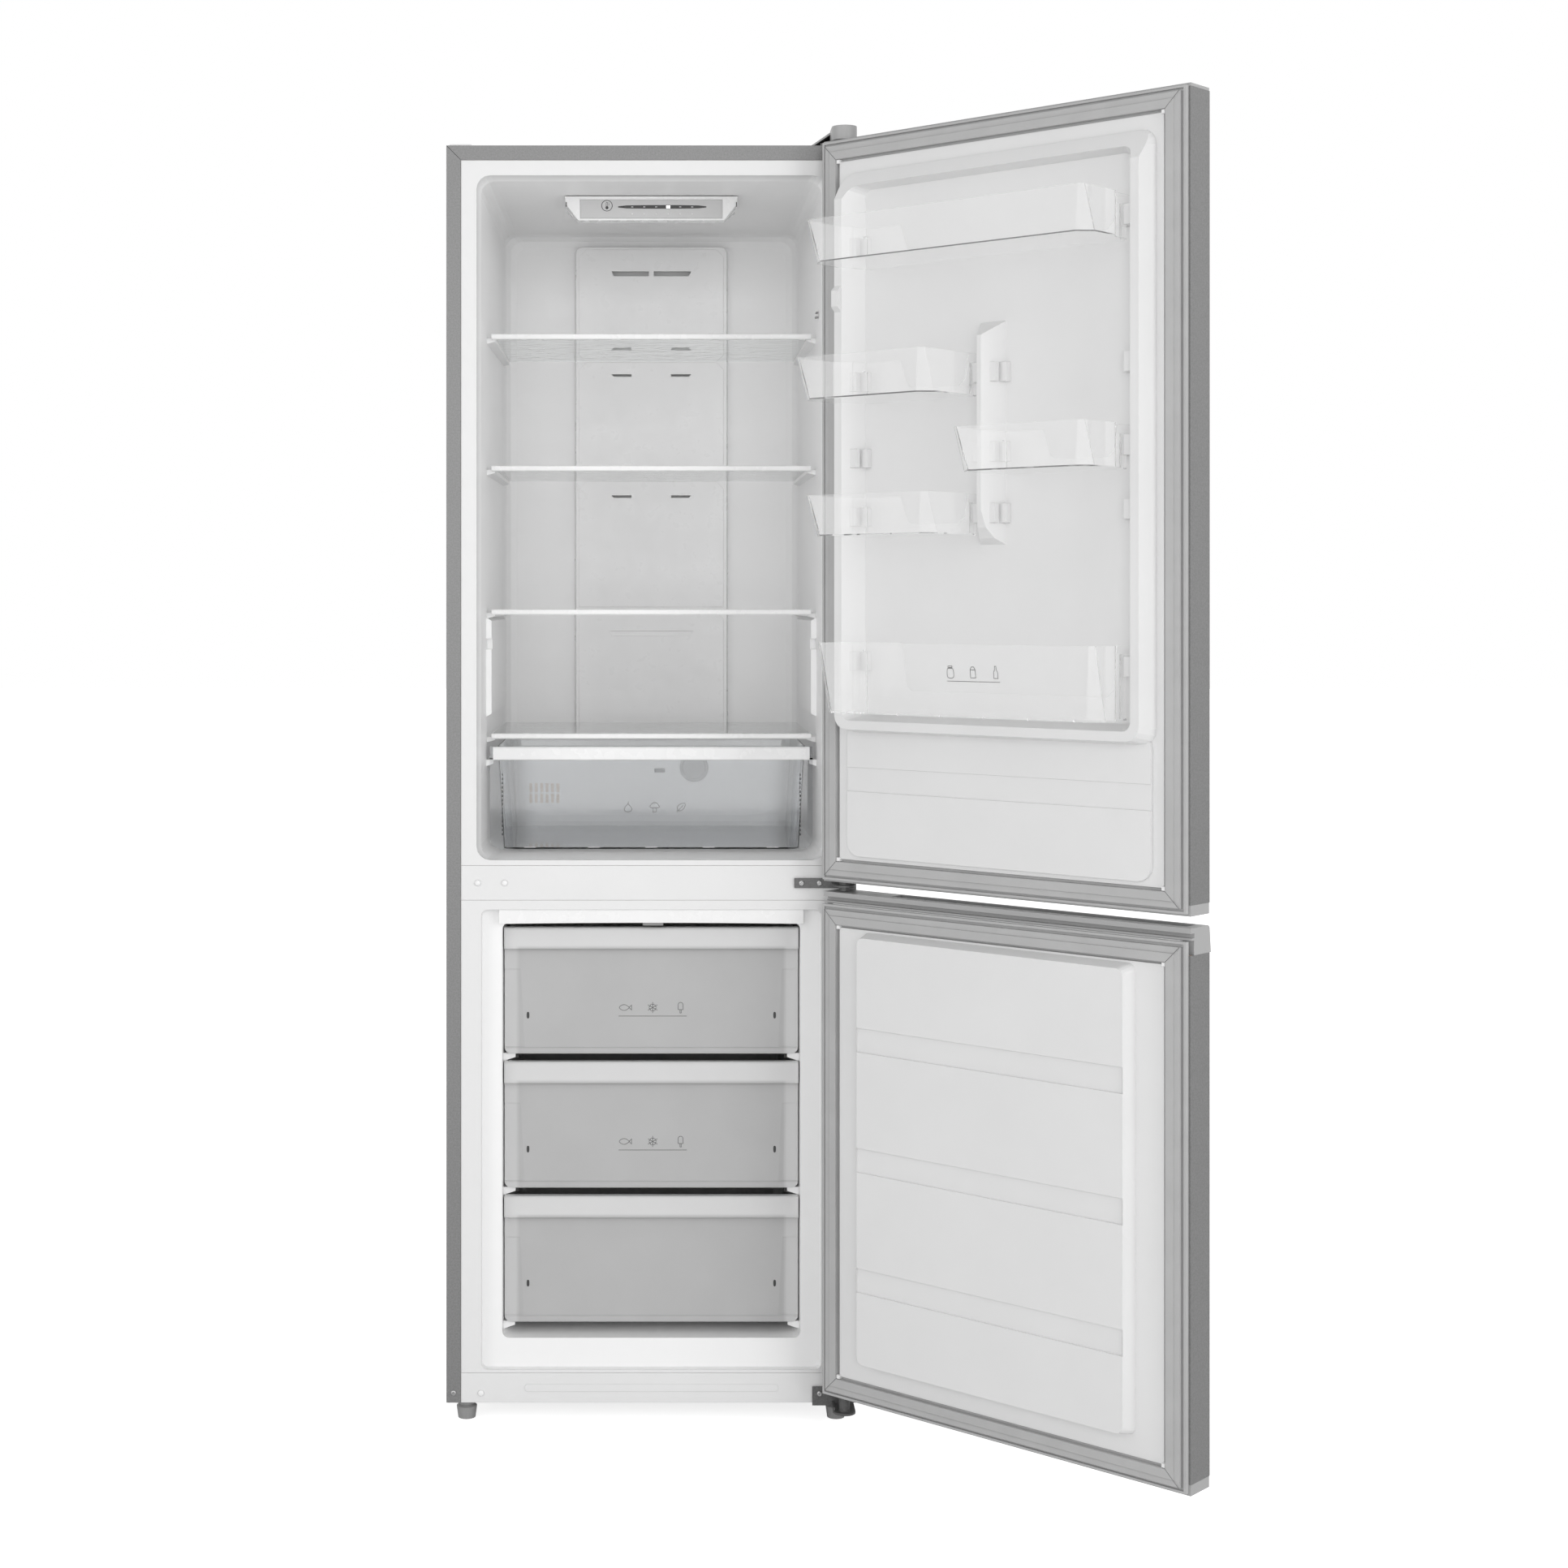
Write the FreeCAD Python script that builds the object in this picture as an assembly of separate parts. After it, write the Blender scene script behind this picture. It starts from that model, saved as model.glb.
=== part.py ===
"""Bottom freezer refrigerator, both doors standing open.

Millimetres, +Z up, the front faces -Y. The origin is on the floor, on the centre line of the cabinet,
in the plane of the cabinet's front edge that the door gaskets close against.
The doors are modelled closed and then turned about their hinge axis.
"""
import FreeCAD, Part
import math
import os

from FreeCAD import Vector

# ------------------------------------------------------------------ driving sizes
# Cabinet body
CABINET_WIDTH = 595.0
CABINET_HEIGHT = 1825.0
CABINET_DEPTH = 575.0
GROUND_CLEARANCE = 30.0
SHEET = 0.8                # painted steel sheet
FLANGE = 21.0              # folded front edge of the steel shell
LINER_WALL = 1.5
SKIN_GAP = 0.2             # between a skin and the foam behind it
SEAT_GAP = 0.3             # between two pieces of which one is carried by the other
LAID_GAP = 0.1             # between two pieces screwed face to face
RIM_FACE = 1.0             # the liners' front rims lie just behind the steel edge
PAST = 1.0                 # how far a cutter runs past what it cuts

# Compartments
FREEZER_FLOOR_WALL = 89.5  # cabinet underside to freezer floor
FREEZER_HEIGHT = 605.0
DIVIDER = 93.0             # freezer ceiling to fridge floor
FRIDGE_TOP_WALL = 43.0
FRIDGE_SIDE_WALL = 43.5
FREEZER_SIDE_WALL = 80.0
REAR_WALL = 51.0
MOUTH_DEPTH = 25.0         # rounded lip at the mouth of the fridge liner
MOUTH_FALL = 5.0           # how far the lip narrows the mouth
WALL_DRAFT = 5.0           # draft of the liner walls from mouth to back
CORNER_RADIUS = 20.0
CORNER_STEPS = 4           # flats in a moulded corner
ROUND_STEPS = 20           # flats around a turned piece
FREEZER_STEP_WIDTH = 29.5  # shallow step around the freezer mouth
FREEZER_STEP_HEIGHT = 21.0
FREEZER_STEP_FOOT = 42.0
FREEZER_STEP_DEPTH = 16.0
MULLION_HEIGHT = 50.0      # visible height of the divider's cover
MULLION_MID = 60.0         # middle of the door gap above the freezer ceiling
KICK_HEIGHT = 43.0
KICK_BAR = (11.0, 0.8)     # height of its embossed bar, and how proud it stands
SWAGE_SHARE = 0.25         # width of a back panel swage in that of its half

# Machine compartment at the bottom rear
MACHINE_DEPTH = 175.0
MACHINE_HEIGHT = 205.0
MACHINE_WALL = 45.0        # foam between the machine compartment and the freezer

# Doors
DOOR_DEPTH = 59.4          # cabinet front plane to the door's skin, closed
GASKET_DEPTH = 12.0
GASKET_WIDTH = 31.0
GASKET_INSET = 3.0
GASKET_LIP = 3.5
GASKET_BAR = 12.0          # its magnet bar, which touches the cabinet
GASKET_DROP = 14.0         # lower door's gasket below the top of its handle
DOOR_GAP = 15.0
DOOR_TOP_REVEAL = 2.0
DOOR_FOOT_REVEAL = 25.0
DOOR_OPEN = 137.4          # degrees, the doors at their stop
HEM = 16.0                 # folded rear edge of a door's skin
CAP_FLANGE = 4.0
CAP_DEPTH = 24.0
BOTTOM_CAP_FLANGE = 14.0
CAP_RADIUS = 2.0
HANDLE_HEIGHT = 35.0
HANDLE_PROUD = 3.0
HANDLE_STEP = 16.0         # top of the handle down to the door liner's edge
HANDLE_BRIM = 7.0          # thickness of its top at the rear
HANDLE_REBATE = (9.0, 2.0) # depth of the groove under the brim, and of the step below it
HANDLE_CORNER = 6.0        # cut corner over the hinge
LINER_RETURN = 8.0         # a door liner's edge folds this deep into the door
GRIP_WIDTH = 24.0
GRIP_DEPTH = 22.0
GRIP_WALL = 9.0
GRIP_HINGE_MARGIN = 90.0   # solid length kept around the hinge pin
GRIP_END_MARGIN = 14.0
LIP_GROOVE = 10.0          # depth of the finger groove under the upper door

# Hinges
HINGE_INSET = 20.0         # axis from the cabinet's side
HINGE_FORWARD = 34.0       # axis in front of the cabinet
PIN_RADIUS = 5.0
PIN_CLEARANCE = 0.08
PIN_ENGAGEMENT = 15.0
HINGE_PLATE = 3.0
HINGE_ARM = 16.0           # half width of the hinge plates around the pin
HINGE_FOOT = 80.0          # length of the top hinge's plate on the cabinet
HINGE_WASHER = 3.0         # washers and bosses round the pin
MIDDLE_BRACKET = 70.0      # reach of the brackets' upright plates from the axis
BOTTOM_BRACKET = 44.0
BRACKET_HEIGHT = 24.0
BRACKET_RIM = 7.0
HINGE_COVER_HEIGHT = 20.0
HINGE_COVER_REACH = 45.0   # its sloping side, from the axis
HINGE_COVER_WALL = 2.0

# Door liner
PANEL_RISE = 7.0           # door liner above the door's rear plane
BORDER_RADIUS = 4.0
DYKE_HEIGHT = 34.0
DYKE_TOP = 13.0
DYKE_MARGIN = 7.5          # dyke to the wall of the fridge mouth
DYKE_DRAFT = 6.0
SLANT_DEPTH = 26.0         # the dykes' upper ends slant down to the liner
SLANT_RISE = 35.0
PAD_HEIGHT = 39.0          # pad on the hinge side's dyke
PAD_PROUD = 8.0
POCKET_LEAN = 16.5         # the pocket between the dykes narrows toward the door
POCKET_RADIUS = 12.0
LOWER_PANEL = 170.0        # height of the door liner's lower panel
LOWER_PANEL_RISE = 5.0
PLATEAU_RISE = 23.0        # raised panel of the freezer door
PLATEAU_CLEARANCE = 2.0    # raised panel to the freezer room it closes
GROOVE_HEIGHT = 34.0
GROOVE_DEPTH = 3.0
RIB_CREST_HALF = 3.5       # rib between the half bins
RIB_BELOW = 13.0           # its ends below the lowest and above the highest half bin
RIB_ABOVE = 100.0
RIB_FALL = 45.0            # height of its curved lower end and of its slanted upper end
RIB_RISE = 20.0
PEG_REACH = 7.0            # door bin pegs
PEG_DEPTH = 9.0
PEG_HEIGHT = 26.0
PEG_SPACE = 4.0            # between the two pegs of a pair
PEG_STEP = 3.0             # outer peg to the bin's end
PEG_DROP = 14.0            # peg's top below the bin's rim

# Fridge fittings
SHELF_SETBACK = 125.0
SHELF_DEPTH = 380.0
SHELF_SIDE_GAP = 3.8
GLASS = 4.0
TRIM_HEIGHT = 8.0
TRIM_DEPTH = 12.0
LEDGE_HEIGHT = 5.0
LEDGE_REACH = 5.0
WALL_PAD = 4.0             # raised field on the side walls below the lowest shelf
GRILLE = (6, 2)            # columns and rows of the return air grille
GRILLE_SLOT = 5.0
GRILLE_PITCH = 9.0
CRISPER_HEIGHT = 154.0
CRISPER_TOP_GAP = 10.0     # crisper drawer to its cover's trim
CRISPER_STRIP = 20.0
STRIP_DEPTH = 8.0
CRISPER_BORDER = 10.0      # raised border of the crisper's front
SHELF_SHARES = (0.228, 0.492, 0.734)   # shelf tops in the clear height above the crisper cover
DUCT_WIDTH = 255.4
DUCT_THICKNESS = 15.0
DUCT_TOP_GAP = 31.0
DUCT_WALL = 2.0
VENT_HEIGHT = 8.0
VENT_HALF = 66.0
PANEL_WIDTH = 261.4
PANEL_HEIGHT = 35.0
PANEL_DEPTH = 95.0
PANEL_SETBACK = 140.0
PANEL_LEAN = 0.25
PANEL_FRAME = 3.0          # housing around the window
PANEL_PROUD = 0.6          # window in front of its housing
WINDOW_WIDTH = 214.6
WINDOW_HEIGHT = 27.0
WINDOW_THICKNESS = 1.6

# Door bins
BIN_WALL = 2.2
BIN_FLARE = 12.0           # how far the front leans out at the top
BIN_BACK_GAP = 0.8
BIN_SIDE_GAP = 3.2
BIN_RIB_GAP = 1.0
BIN_CORNER_TOP = 7.0       # cut front corners, wider at the foot
BIN_CORNER_FOOT = 18.0
BIN_KNEE = 14.0            # length in which a bin widens in front of the dykes
BIN_WING = 8.0             # how much it widens at the free side
BIN_SHOULDER = 60.0        # rear wall left high at the hinge side
BIN_SLOT = 14.0            # slots in a bin's floor
BINS = {                   # place in the fridge's height, own height, reach, widening at the hinge side
    "top": (0.847, 58.0, 127.0, 12.0),
    "left_upper": (0.657, 58.0, 134.0, 24.0),
    "right": (0.549, 58.0, 127.0, 0.0),
    "left_lower": (0.468, 56.0, 127.0, 12.0),
    "bottle": (0.223, 97.0, 102.0, 12.0),
}
HALF_BINS = ("left_upper", "right", "left_lower")

# Freezer fittings
DRAWER_WALL = 2.2
DRAWER_SIDE_GAP = 2.0
DRAWER_SETBACK = 30.0
DRAWER_DEPTH = 385.0
LOWER_DRAWER_DEPTH = 300.0
DRAWER_GAP = 11.0
DRAWER_FRONT = 4.0
DRAWER_GRIP = 31.0
DRAWER_GRIP_DEPTH = 14.0
DRAWER_STEP = 62.0         # the front steps back this far below its top
DRAWER_STEP_DEPTH = 1.2
DRAWER_LIP = 8.0           # lip along the foot of the front
DRAWER_TUB_GAP = 3.0
FLOOR_SLOT = (53.0, 4.0)   # slots in a drawer's floor
FLOOR_SLOT_PITCH = 88.0
DRAWER_TAPER = 9.0
RUNNER_REACH = 14.0
RUNNER_HEIGHT = 6.0
FREEZER_TRIM_HEIGHT = 21.0
EVAPORATOR_COVER_SETBACK = 85.0
EVAPORATOR_COVER_WALL = 3.0
FAN_RADIUS = 48.0
FAN_CLEARANCE = 3.0
FAN_RING_WALL = 2.0
FAN_RING_DEPTH = 22.0
FAN_BLADES = 5
FAN_PITCH = 20.0
FAN_SHAFT_RADIUS = 2.0
FAN_HUB_RADIUS = 14.0
FAN_HUB_DEPTH = 12.0
MOTOR_RADIUS = 24.0
MOTOR_LENGTH = 26.0
EVAPORATOR_TUBE = 5.0
EVAPORATOR_FINS = 9
EVAPORATOR_INSET = 28.0    # end fins to the freezer's walls
EVAPORATOR_SLOTS = 6
GUARD_BAR = 3.0            # bars of the fan's guard

# Stand
FOOT_RADIUS = 15.0
FOOT_BASE_RADIUS = 12.7
FOOT_COLLAR_RADIUS = 11.0
FOOT_RIM_HEIGHT = 17.0
FOOT_STUD_RADIUS = 4.0
FOOT_STUD_LENGTH = 24.0
FOOT_INSET = 27.5
FOOT_SETBACK = 31.0
BASE_SHEET = 1.5
ROLLER_RADIUS = 14.0
ROLLER_WIDTH = 14.0
ROLLER_CHEEK = 2.0
ROLLER_INSET = 40.0
ROLLER_SETBACK = 30.0
AXLE_RADIUS = 3.0

# Compressor
COMPRESSOR_RADIUS = 72.0
COMPRESSOR_HEIGHT = 150.0
COMPRESSOR_SEAM = 2.5      # weld seam round the shell
COMPRESSOR_FOOT = (95.0, 55.0, 3.0)    # half length, half width and thickness of its foot plate
COMPRESSOR_TERMINAL = (22.0, 48.0, 52.0)
COMPRESSOR_PORT = 84.0     # height of its stub pipe
GROMMET_SPAN = (82.0, 42.0)
GROMMET_RADIUS = 11.0
GROMMET_HEIGHT = 8.0
PIPE_RADIUS = 3.0
PIPE_STEPS = 8
PIPE_BEND = 18.0           # straight length between the stub and the riser
PIPE_RISE = 50.0
DRIER_LENGTH = 28.0
TRAY_HEIGHT = 45.0
TRAY_WALL = 2.0
COVER_SLOT = 5.0           # cooling slots of the machine compartment's cover
COVER_SLOT_PITCH = 20.0
COVER_SLOTS = 6
COVER_THICKNESS = 2.0
COVER_PROUD = 4.0          # the gland behind the cover
GLAND_RADIUS = 9.0         # mains cable gland
GLAND_BORE = 4.0
GLAND_LENGTH = 10.0
GLAND_INSET = 26.0

# Fasteners
SCREW_HEAD_RADIUS = 4.0
SCREW_HEAD_HEIGHT = 1.8
PLUG_RADIUS = 4.6
PLUG_HEIGHT = 1.6
PLUG_PITCH = 39.0
SCREW_PITCH = 26.0
BRACKET_SCREW_Z = 14.0     # the lowest screws and plug above the cabinet's underside

# ------------------------------------------------------------------ derived places
HALF = CABINET_WIDTH / 2
BASE_Z = GROUND_CLEARANCE
TOP_Z = BASE_Z + CABINET_HEIGHT
FREEZER_FLOOR = BASE_Z + FREEZER_FLOOR_WALL
FREEZER_TOP = FREEZER_FLOOR + FREEZER_HEIGHT
FRIDGE_FLOOR = FREEZER_TOP + DIVIDER
FRIDGE_TOP = TOP_Z - FRIDGE_TOP_WALL
FRIDGE_HALF = HALF - FRIDGE_SIDE_WALL
FREEZER_HALF = HALF - FREEZER_SIDE_WALL
CAVITY_BACK = CABINET_DEPTH - REAR_WALL
GAP_MID = FREEZER_TOP + MULLION_MID
MULLION_LOW = GAP_MID - MULLION_HEIGHT / 2
MULLION_HIGH = GAP_MID + MULLION_HEIGHT / 2
RIM_HALF = HALF - FLANGE - SEAT_GAP
KICK_TOP = BASE_Z + KICK_HEIGHT
HINGE_X = HALF - HINGE_INSET
HINGE_Y = -HINGE_FORWARD
UPPER_LOW = GAP_MID + DOOR_GAP / 2
UPPER_HIGH = TOP_Z - DOOR_TOP_REVEAL
LOWER_LOW = BASE_Z + DOOR_FOOT_REVEAL
LOWER_HIGH = GAP_MID - DOOR_GAP / 2
SKIN_Y = -DOOR_DEPTH
REAR_Y = -GASKET_DEPTH     # the door body's rear plane, closed
GASKET_INNER = GASKET_INSET + GASKET_WIDTH
LINER_Y = REAR_Y + PANEL_RISE
POCKET_FOOT = FRIDGE_HALF - DYKE_MARGIN - DYKE_TOP - POCKET_LEAN
RIB_FOOT = RIB_CREST_HALF + POCKET_LEAN
BIN_END = POCKET_FOOT - BIN_SIDE_GAP      # ends of the bins beside a dyke and beside the rib
BIN_RIB_END = RIB_FOOT + BIN_RIB_GAP
MACHINE_FRONT = CABINET_DEPTH - MACHINE_DEPTH
MACHINE_TOP = BASE_Z + MACHINE_HEIGHT
HUMP_TOP = MACHINE_TOP + MACHINE_WALL
HUMP_FRONT = MACHINE_FRONT - MACHINE_WALL
COVER_TOP = FRIDGE_FLOOR + GLASS + CRISPER_HEIGHT + CRISPER_TOP_GAP + TRIM_HEIGHT
SHELF_CLEAR = FRIDGE_TOP - COVER_TOP
SHELF_TOPS = [COVER_TOP + share * SHELF_CLEAR for share in SHELF_SHARES]
SHELF_BACK = SHELF_SETBACK + SHELF_DEPTH
EVAPORATOR_COVER_Y = CAVITY_BACK - EVAPORATOR_COVER_SETBACK
FAN_Z = FREEZER_TOP - 2 * FAN_RADIUS


# ------------------------------------------------------------------ helpers
def box(x0, x1, y0, y1, z0, z1):
    return Part.makeBox(x1 - x0, y1 - y0, z1 - z0, Vector(x0, y0, z0))


def rod(radius, start, length, direction):
    return Part.makeCylinder(radius, length, Vector(*start), Vector(*direction))


def fuse(shapes):
    shapes = list(shapes)
    return shapes[0].multiFuse(shapes[1:]).removeSplitter() if len(shapes) > 1 else shapes[0]


def group(shapes):
    return Part.makeCompound(list(shapes))


def mirrored(shape):
    return shape.mirror(Vector(0, 0, 0), Vector(1, 0, 0))


def both_sides(shape):
    return [shape, mirrored(shape)]


def outline(points):
    """Closed wire through 3-D points."""
    corners = [Vector(*p) for p in points]
    return Part.makePolygon(corners + corners[:1])


def prism(points, direction):
    return Part.Face(outline(points)).extrude(Vector(*direction))


def round_ring(radius, centre, z):
    """Points round a vertical axis through centre."""
    turns = [math.radians(360 * step / ROUND_STEPS) for step in range(ROUND_STEPS)]
    return [(centre[0] + radius * math.cos(turn), centre[1] + radius * math.sin(turn), z) for turn in turns]


def disc(radius, y, z, depth):
    """Round plate in flats that faces forward, its axis on the centre line."""
    return prism([(x, y, z + up) for x, up, _ in round_ring(radius, (0, 0), 0)], (0, depth, 0))


def turned(profile, centre, z):
    """Solid of (radius, height) steps about a vertical axis, round in flats."""
    return skinned([round_ring(radius, centre, z + height) for radius, height in profile])


def rounded_path(half, low, high, radius):
    """Points of a rounded rectangle, its corners in short flats."""
    corners = [(radius - half, low + radius, 180), (half - radius, low + radius, 270),
               (half - radius, high - radius, 0), (radius - half, high - radius, 90)]
    points = []
    for across, up, start in corners:
        for step in range(CORNER_STEPS + 1):
            angle = math.radians(start + 90 * step / CORNER_STEPS)
            points.append((across + radius * math.cos(angle), up + radius * math.sin(angle)))
    return points


def skinned(rings):
    """Solid through rings of points; the sides of neighbouring rings run parallel."""
    faces = [Part.Face(outline(rings[0])), Part.Face(outline(rings[-1]))]
    for near, far in zip(rings, rings[1:]):
        for index in range(len(near)):
            after = (index + 1) % len(near)
            faces.append(Part.Face(outline([near[index], near[after], far[after], far[index]])))
    solid = Part.makeSolid(Part.makeShell(faces))
    if solid.Volume < 0:
        solid.reverse()
    return solid


def drafted(sections):
    """Solid through upright rounded rectangles, each (half, z0, z1, radius, y)."""
    return skinned([[(x, y, z) for x, z in rounded_path(half, z0, z1, radius)]
                    for half, z0, z1, radius, y in sections])


def rounded_plate(half, z0, z1, radius, y0, y1, mid=0.0):
    return prism([(mid + x, y0, z) for x, z in rounded_path(half, z0, z1, radius)], (0, y1 - y0, 0))


def door_opened(shape):
    opened = shape.copy()
    opened.rotate(Vector(HINGE_X, HINGE_Y, 0), Vector(0, 0, 1), DOOR_OPEN)
    return opened


# ------------------------------------------------------------------ cabinet
def fridge_cavity(offset):
    """Room inside the fridge liner; a positive offset gives the outside of the liner."""
    top, floor, half = FRIDGE_TOP, FRIDGE_FLOOR, FRIDGE_HALF
    fall = MOUTH_FALL + WALL_DRAFT
    radius = CORNER_RADIUS + offset
    front = (half + offset, floor - offset, top + offset, radius, 0.0)
    lip = (half - MOUTH_FALL + offset, floor - offset, top - MOUTH_FALL + offset, radius, MOUTH_DEPTH)
    sections = [front, lip]
    for step in range(4):
        angle = math.radians(30 * step)
        inward = CORNER_RADIUS * (1 - math.cos(angle))
        depth = CAVITY_BACK - CORNER_RADIUS + (CORNER_RADIUS + offset) * math.sin(angle)
        sections.append((half - fall - inward + offset, floor + inward - offset,
                         top - fall - inward + offset, radius, depth))
    return drafted(sections)


def freezer_cavity(offset):
    """Room inside the freezer liner, with the shallow step at its mouth and the hump at its foot."""
    step = (FREEZER_HALF + FREEZER_STEP_WIDTH + offset, FREEZER_FLOOR - FREEZER_STEP_FOOT - offset,
            FREEZER_TOP + FREEZER_STEP_HEIGHT + offset, CORNER_RADIUS / 2 + offset)
    mouth = rounded_plate(*step, 0, FREEZER_STEP_DEPTH + offset)
    radius = CORNER_RADIUS / 2 + offset
    room = drafted([
        (FREEZER_HALF + offset, FREEZER_FLOOR - offset, FREEZER_TOP + offset, radius, 1.0),
        (FREEZER_HALF - WALL_DRAFT + offset, FREEZER_FLOOR - offset, FREEZER_TOP + offset, radius,
         CAVITY_BACK + offset),
    ])
    hump = box(-HALF, HALF, HUMP_FRONT + offset, CABINET_DEPTH, BASE_Z, HUMP_TOP - offset)
    return mouth.fuse(room.cut(hump)).removeSplitter()


def fridge_half_at(depth):
    """Half width of the fridge room at a depth."""
    share = (depth - MOUTH_DEPTH) / (CAVITY_BACK - CORNER_RADIUS - MOUTH_DEPTH)
    return FRIDGE_HALF - MOUTH_FALL - WALL_DRAFT * share


def freezer_half_at(depth):
    return FREEZER_HALF - WALL_DRAFT * depth / CAVITY_BACK


def cabinet_shell():
    """Steel wrap: sides and top with a folded front edge."""
    body = box(-HALF, HALF, 0, CABINET_DEPTH, BASE_Z, TOP_Z)
    room = box(-HALF + SHEET, HALF - SHEET, SHEET, CABINET_DEPTH + 1, BASE_Z - 1, TOP_Z - SHEET)
    front = box(-HALF + FLANGE, HALF - FLANGE, -1, SHEET + 1, BASE_Z - 1, TOP_Z - FLANGE)
    return body.cut(room).cut(front)


def back_panel():
    """Steel sheet with two shallow stiffening swages."""
    inset = SHEET + SKIN_GAP
    half = HALF - inset
    front, back = CABINET_DEPTH - SHEET, CABINET_DEPTH
    sheet = box(-half, half, front, back, MACHINE_TOP + 2 * BASE_SHEET, TOP_Z - inset)
    field = half - FLANGE
    swage = rounded_plate(field * SWAGE_SHARE, FREEZER_TOP, TOP_Z - 2 * FRIDGE_TOP_WALL, CORNER_RADIUS,
                          front, back - SHEET / 2, field / 2)
    return sheet.cut(group(both_sides(swage)))


def base_plate():
    """Steel tray under the cabinet: sills, machine deck and its front wall and roof."""
    half = HALF - SHEET - SKIN_GAP
    front, back = 2 * RIM_FACE + LINER_WALL, CABINET_DEPTH - SHEET - SKIN_GAP
    deck = box(-half, half, front, back, BASE_Z, BASE_Z + BASE_SHEET)
    riser = box(-half, half, MACHINE_FRONT - BASE_SHEET, MACHINE_FRONT, BASE_Z, MACHINE_TOP)
    roof = box(-half, half, MACHINE_FRONT - BASE_SHEET, back, MACHINE_TOP, MACHINE_TOP + BASE_SHEET)
    plate = fuse([deck, riser, roof] + both_sides(foot_socket()) + both_sides(roller_fork()))
    bore = rod(FOOT_STUD_RADIUS + PIN_CLEARANCE, (foot_x(), FOOT_SETBACK, 0),
               BASE_Z + FOOT_STUD_LENGTH + PAST, (0, 0, 1))
    return plate.cut(group(both_sides(bore)))


def foot_x():
    return HALF - FOOT_INSET


def foot_socket():
    """Threaded socket that a levelling foot screws into."""
    height = FOOT_STUD_LENGTH + BASE_SHEET
    return rod(2 * FOOT_STUD_RADIUS, (foot_x(), FOOT_SETBACK, BASE_Z), height, (0, 0, 1))


def roller_place():
    return HALF - ROLLER_INSET, CABINET_DEPTH - ROLLER_SETBACK


def roller_fork():
    """Two cheeks and the axle of a rear roller."""
    x, y = roller_place()
    inner = ROLLER_WIDTH / 2 + SEAT_GAP
    outer = inner + ROLLER_CHEEK
    low, high = ROLLER_RADIUS - 2 * AXLE_RADIUS, BASE_Z + BASE_SHEET
    cheeks = [box(x + x0, x + x1, y - ROLLER_RADIUS, y + ROLLER_RADIUS, low, high)
              for x0, x1 in ((-outer, -inner), (inner, outer))]
    return fuse(cheeks + [rod(AXLE_RADIUS, (x - outer, y, ROLLER_RADIUS), 2 * outer, (1, 0, 0))])


def rear_roller():
    x, y = roller_place()
    wheel = rod(ROLLER_RADIUS, (x - ROLLER_WIDTH / 2, y, ROLLER_RADIUS), ROLLER_WIDTH, (1, 0, 0))
    bore = rod(AXLE_RADIUS + PIN_CLEARANCE, (x - ROLLER_WIDTH, y, ROLLER_RADIUS), 2 * ROLLER_WIDTH,
               (1, 0, 0))
    return wheel.cut(bore)


def front_foot():
    """Levelling foot: tapered cup, collar and stud."""
    collar_top = BASE_Z - SEAT_GAP
    shoulder = FOOT_RIM_HEIGHT + (FOOT_RADIUS - FOOT_COLLAR_RADIUS) * 3 / 4
    profile = [(FOOT_BASE_RADIUS, 0), (FOOT_RADIUS, FOOT_RIM_HEIGHT), (FOOT_COLLAR_RADIUS, shoulder),
               (FOOT_COLLAR_RADIUS, collar_top)]
    place = (foot_x(), FOOT_SETBACK)
    stud = rod(FOOT_STUD_RADIUS, place + (collar_top,), FOOT_STUD_LENGTH - 2 * PAST, (0, 0, 1))
    return turned(profile, place, 0).fuse(stud)


def cabinet_foam():
    """Insulation between the steel shell and the liners."""
    inset = SHEET + SKIN_GAP
    half = HALF - inset
    front = RIM_FACE + LINER_WALL + SKIN_GAP
    back = CABINET_DEPTH - SHEET - SKIN_GAP
    low = BASE_Z + BASE_SHEET + SKIN_GAP
    body = box(-half, half, front, back, low, TOP_Z - inset)
    machine = box(-HALF, HALF, MACHINE_FRONT - BASE_SHEET - SKIN_GAP, CABINET_DEPTH, 0,
                  MACHINE_TOP + BASE_SHEET + SKIN_GAP)
    body = body.cut(machine)
    offset = LINER_WALL + SKIN_GAP
    body = body.cut(fridge_cavity(offset)).cut(freezer_cavity(offset))
    for x in (-foot_x(), foot_x()):
        body = body.cut(rod(2 * FOOT_STUD_RADIUS + SKIN_GAP, (x, FOOT_SETBACK, 0),
                            BASE_Z + FOOT_STUD_LENGTH + 2 * BASE_SHEET, (0, 0, 1)))
    return body


def side_ledge(inner, outer, depth0, depth1, top, height):
    """Pair of ledges on the side walls, thicker toward the wall."""
    profile = [(outer, depth0, top - 2 * height), (outer, depth0, top), (inner, depth0, top),
               (inner, depth0, top - height)]
    return both_sides(prism(profile, (0, depth1 - depth0, 0)))


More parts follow.
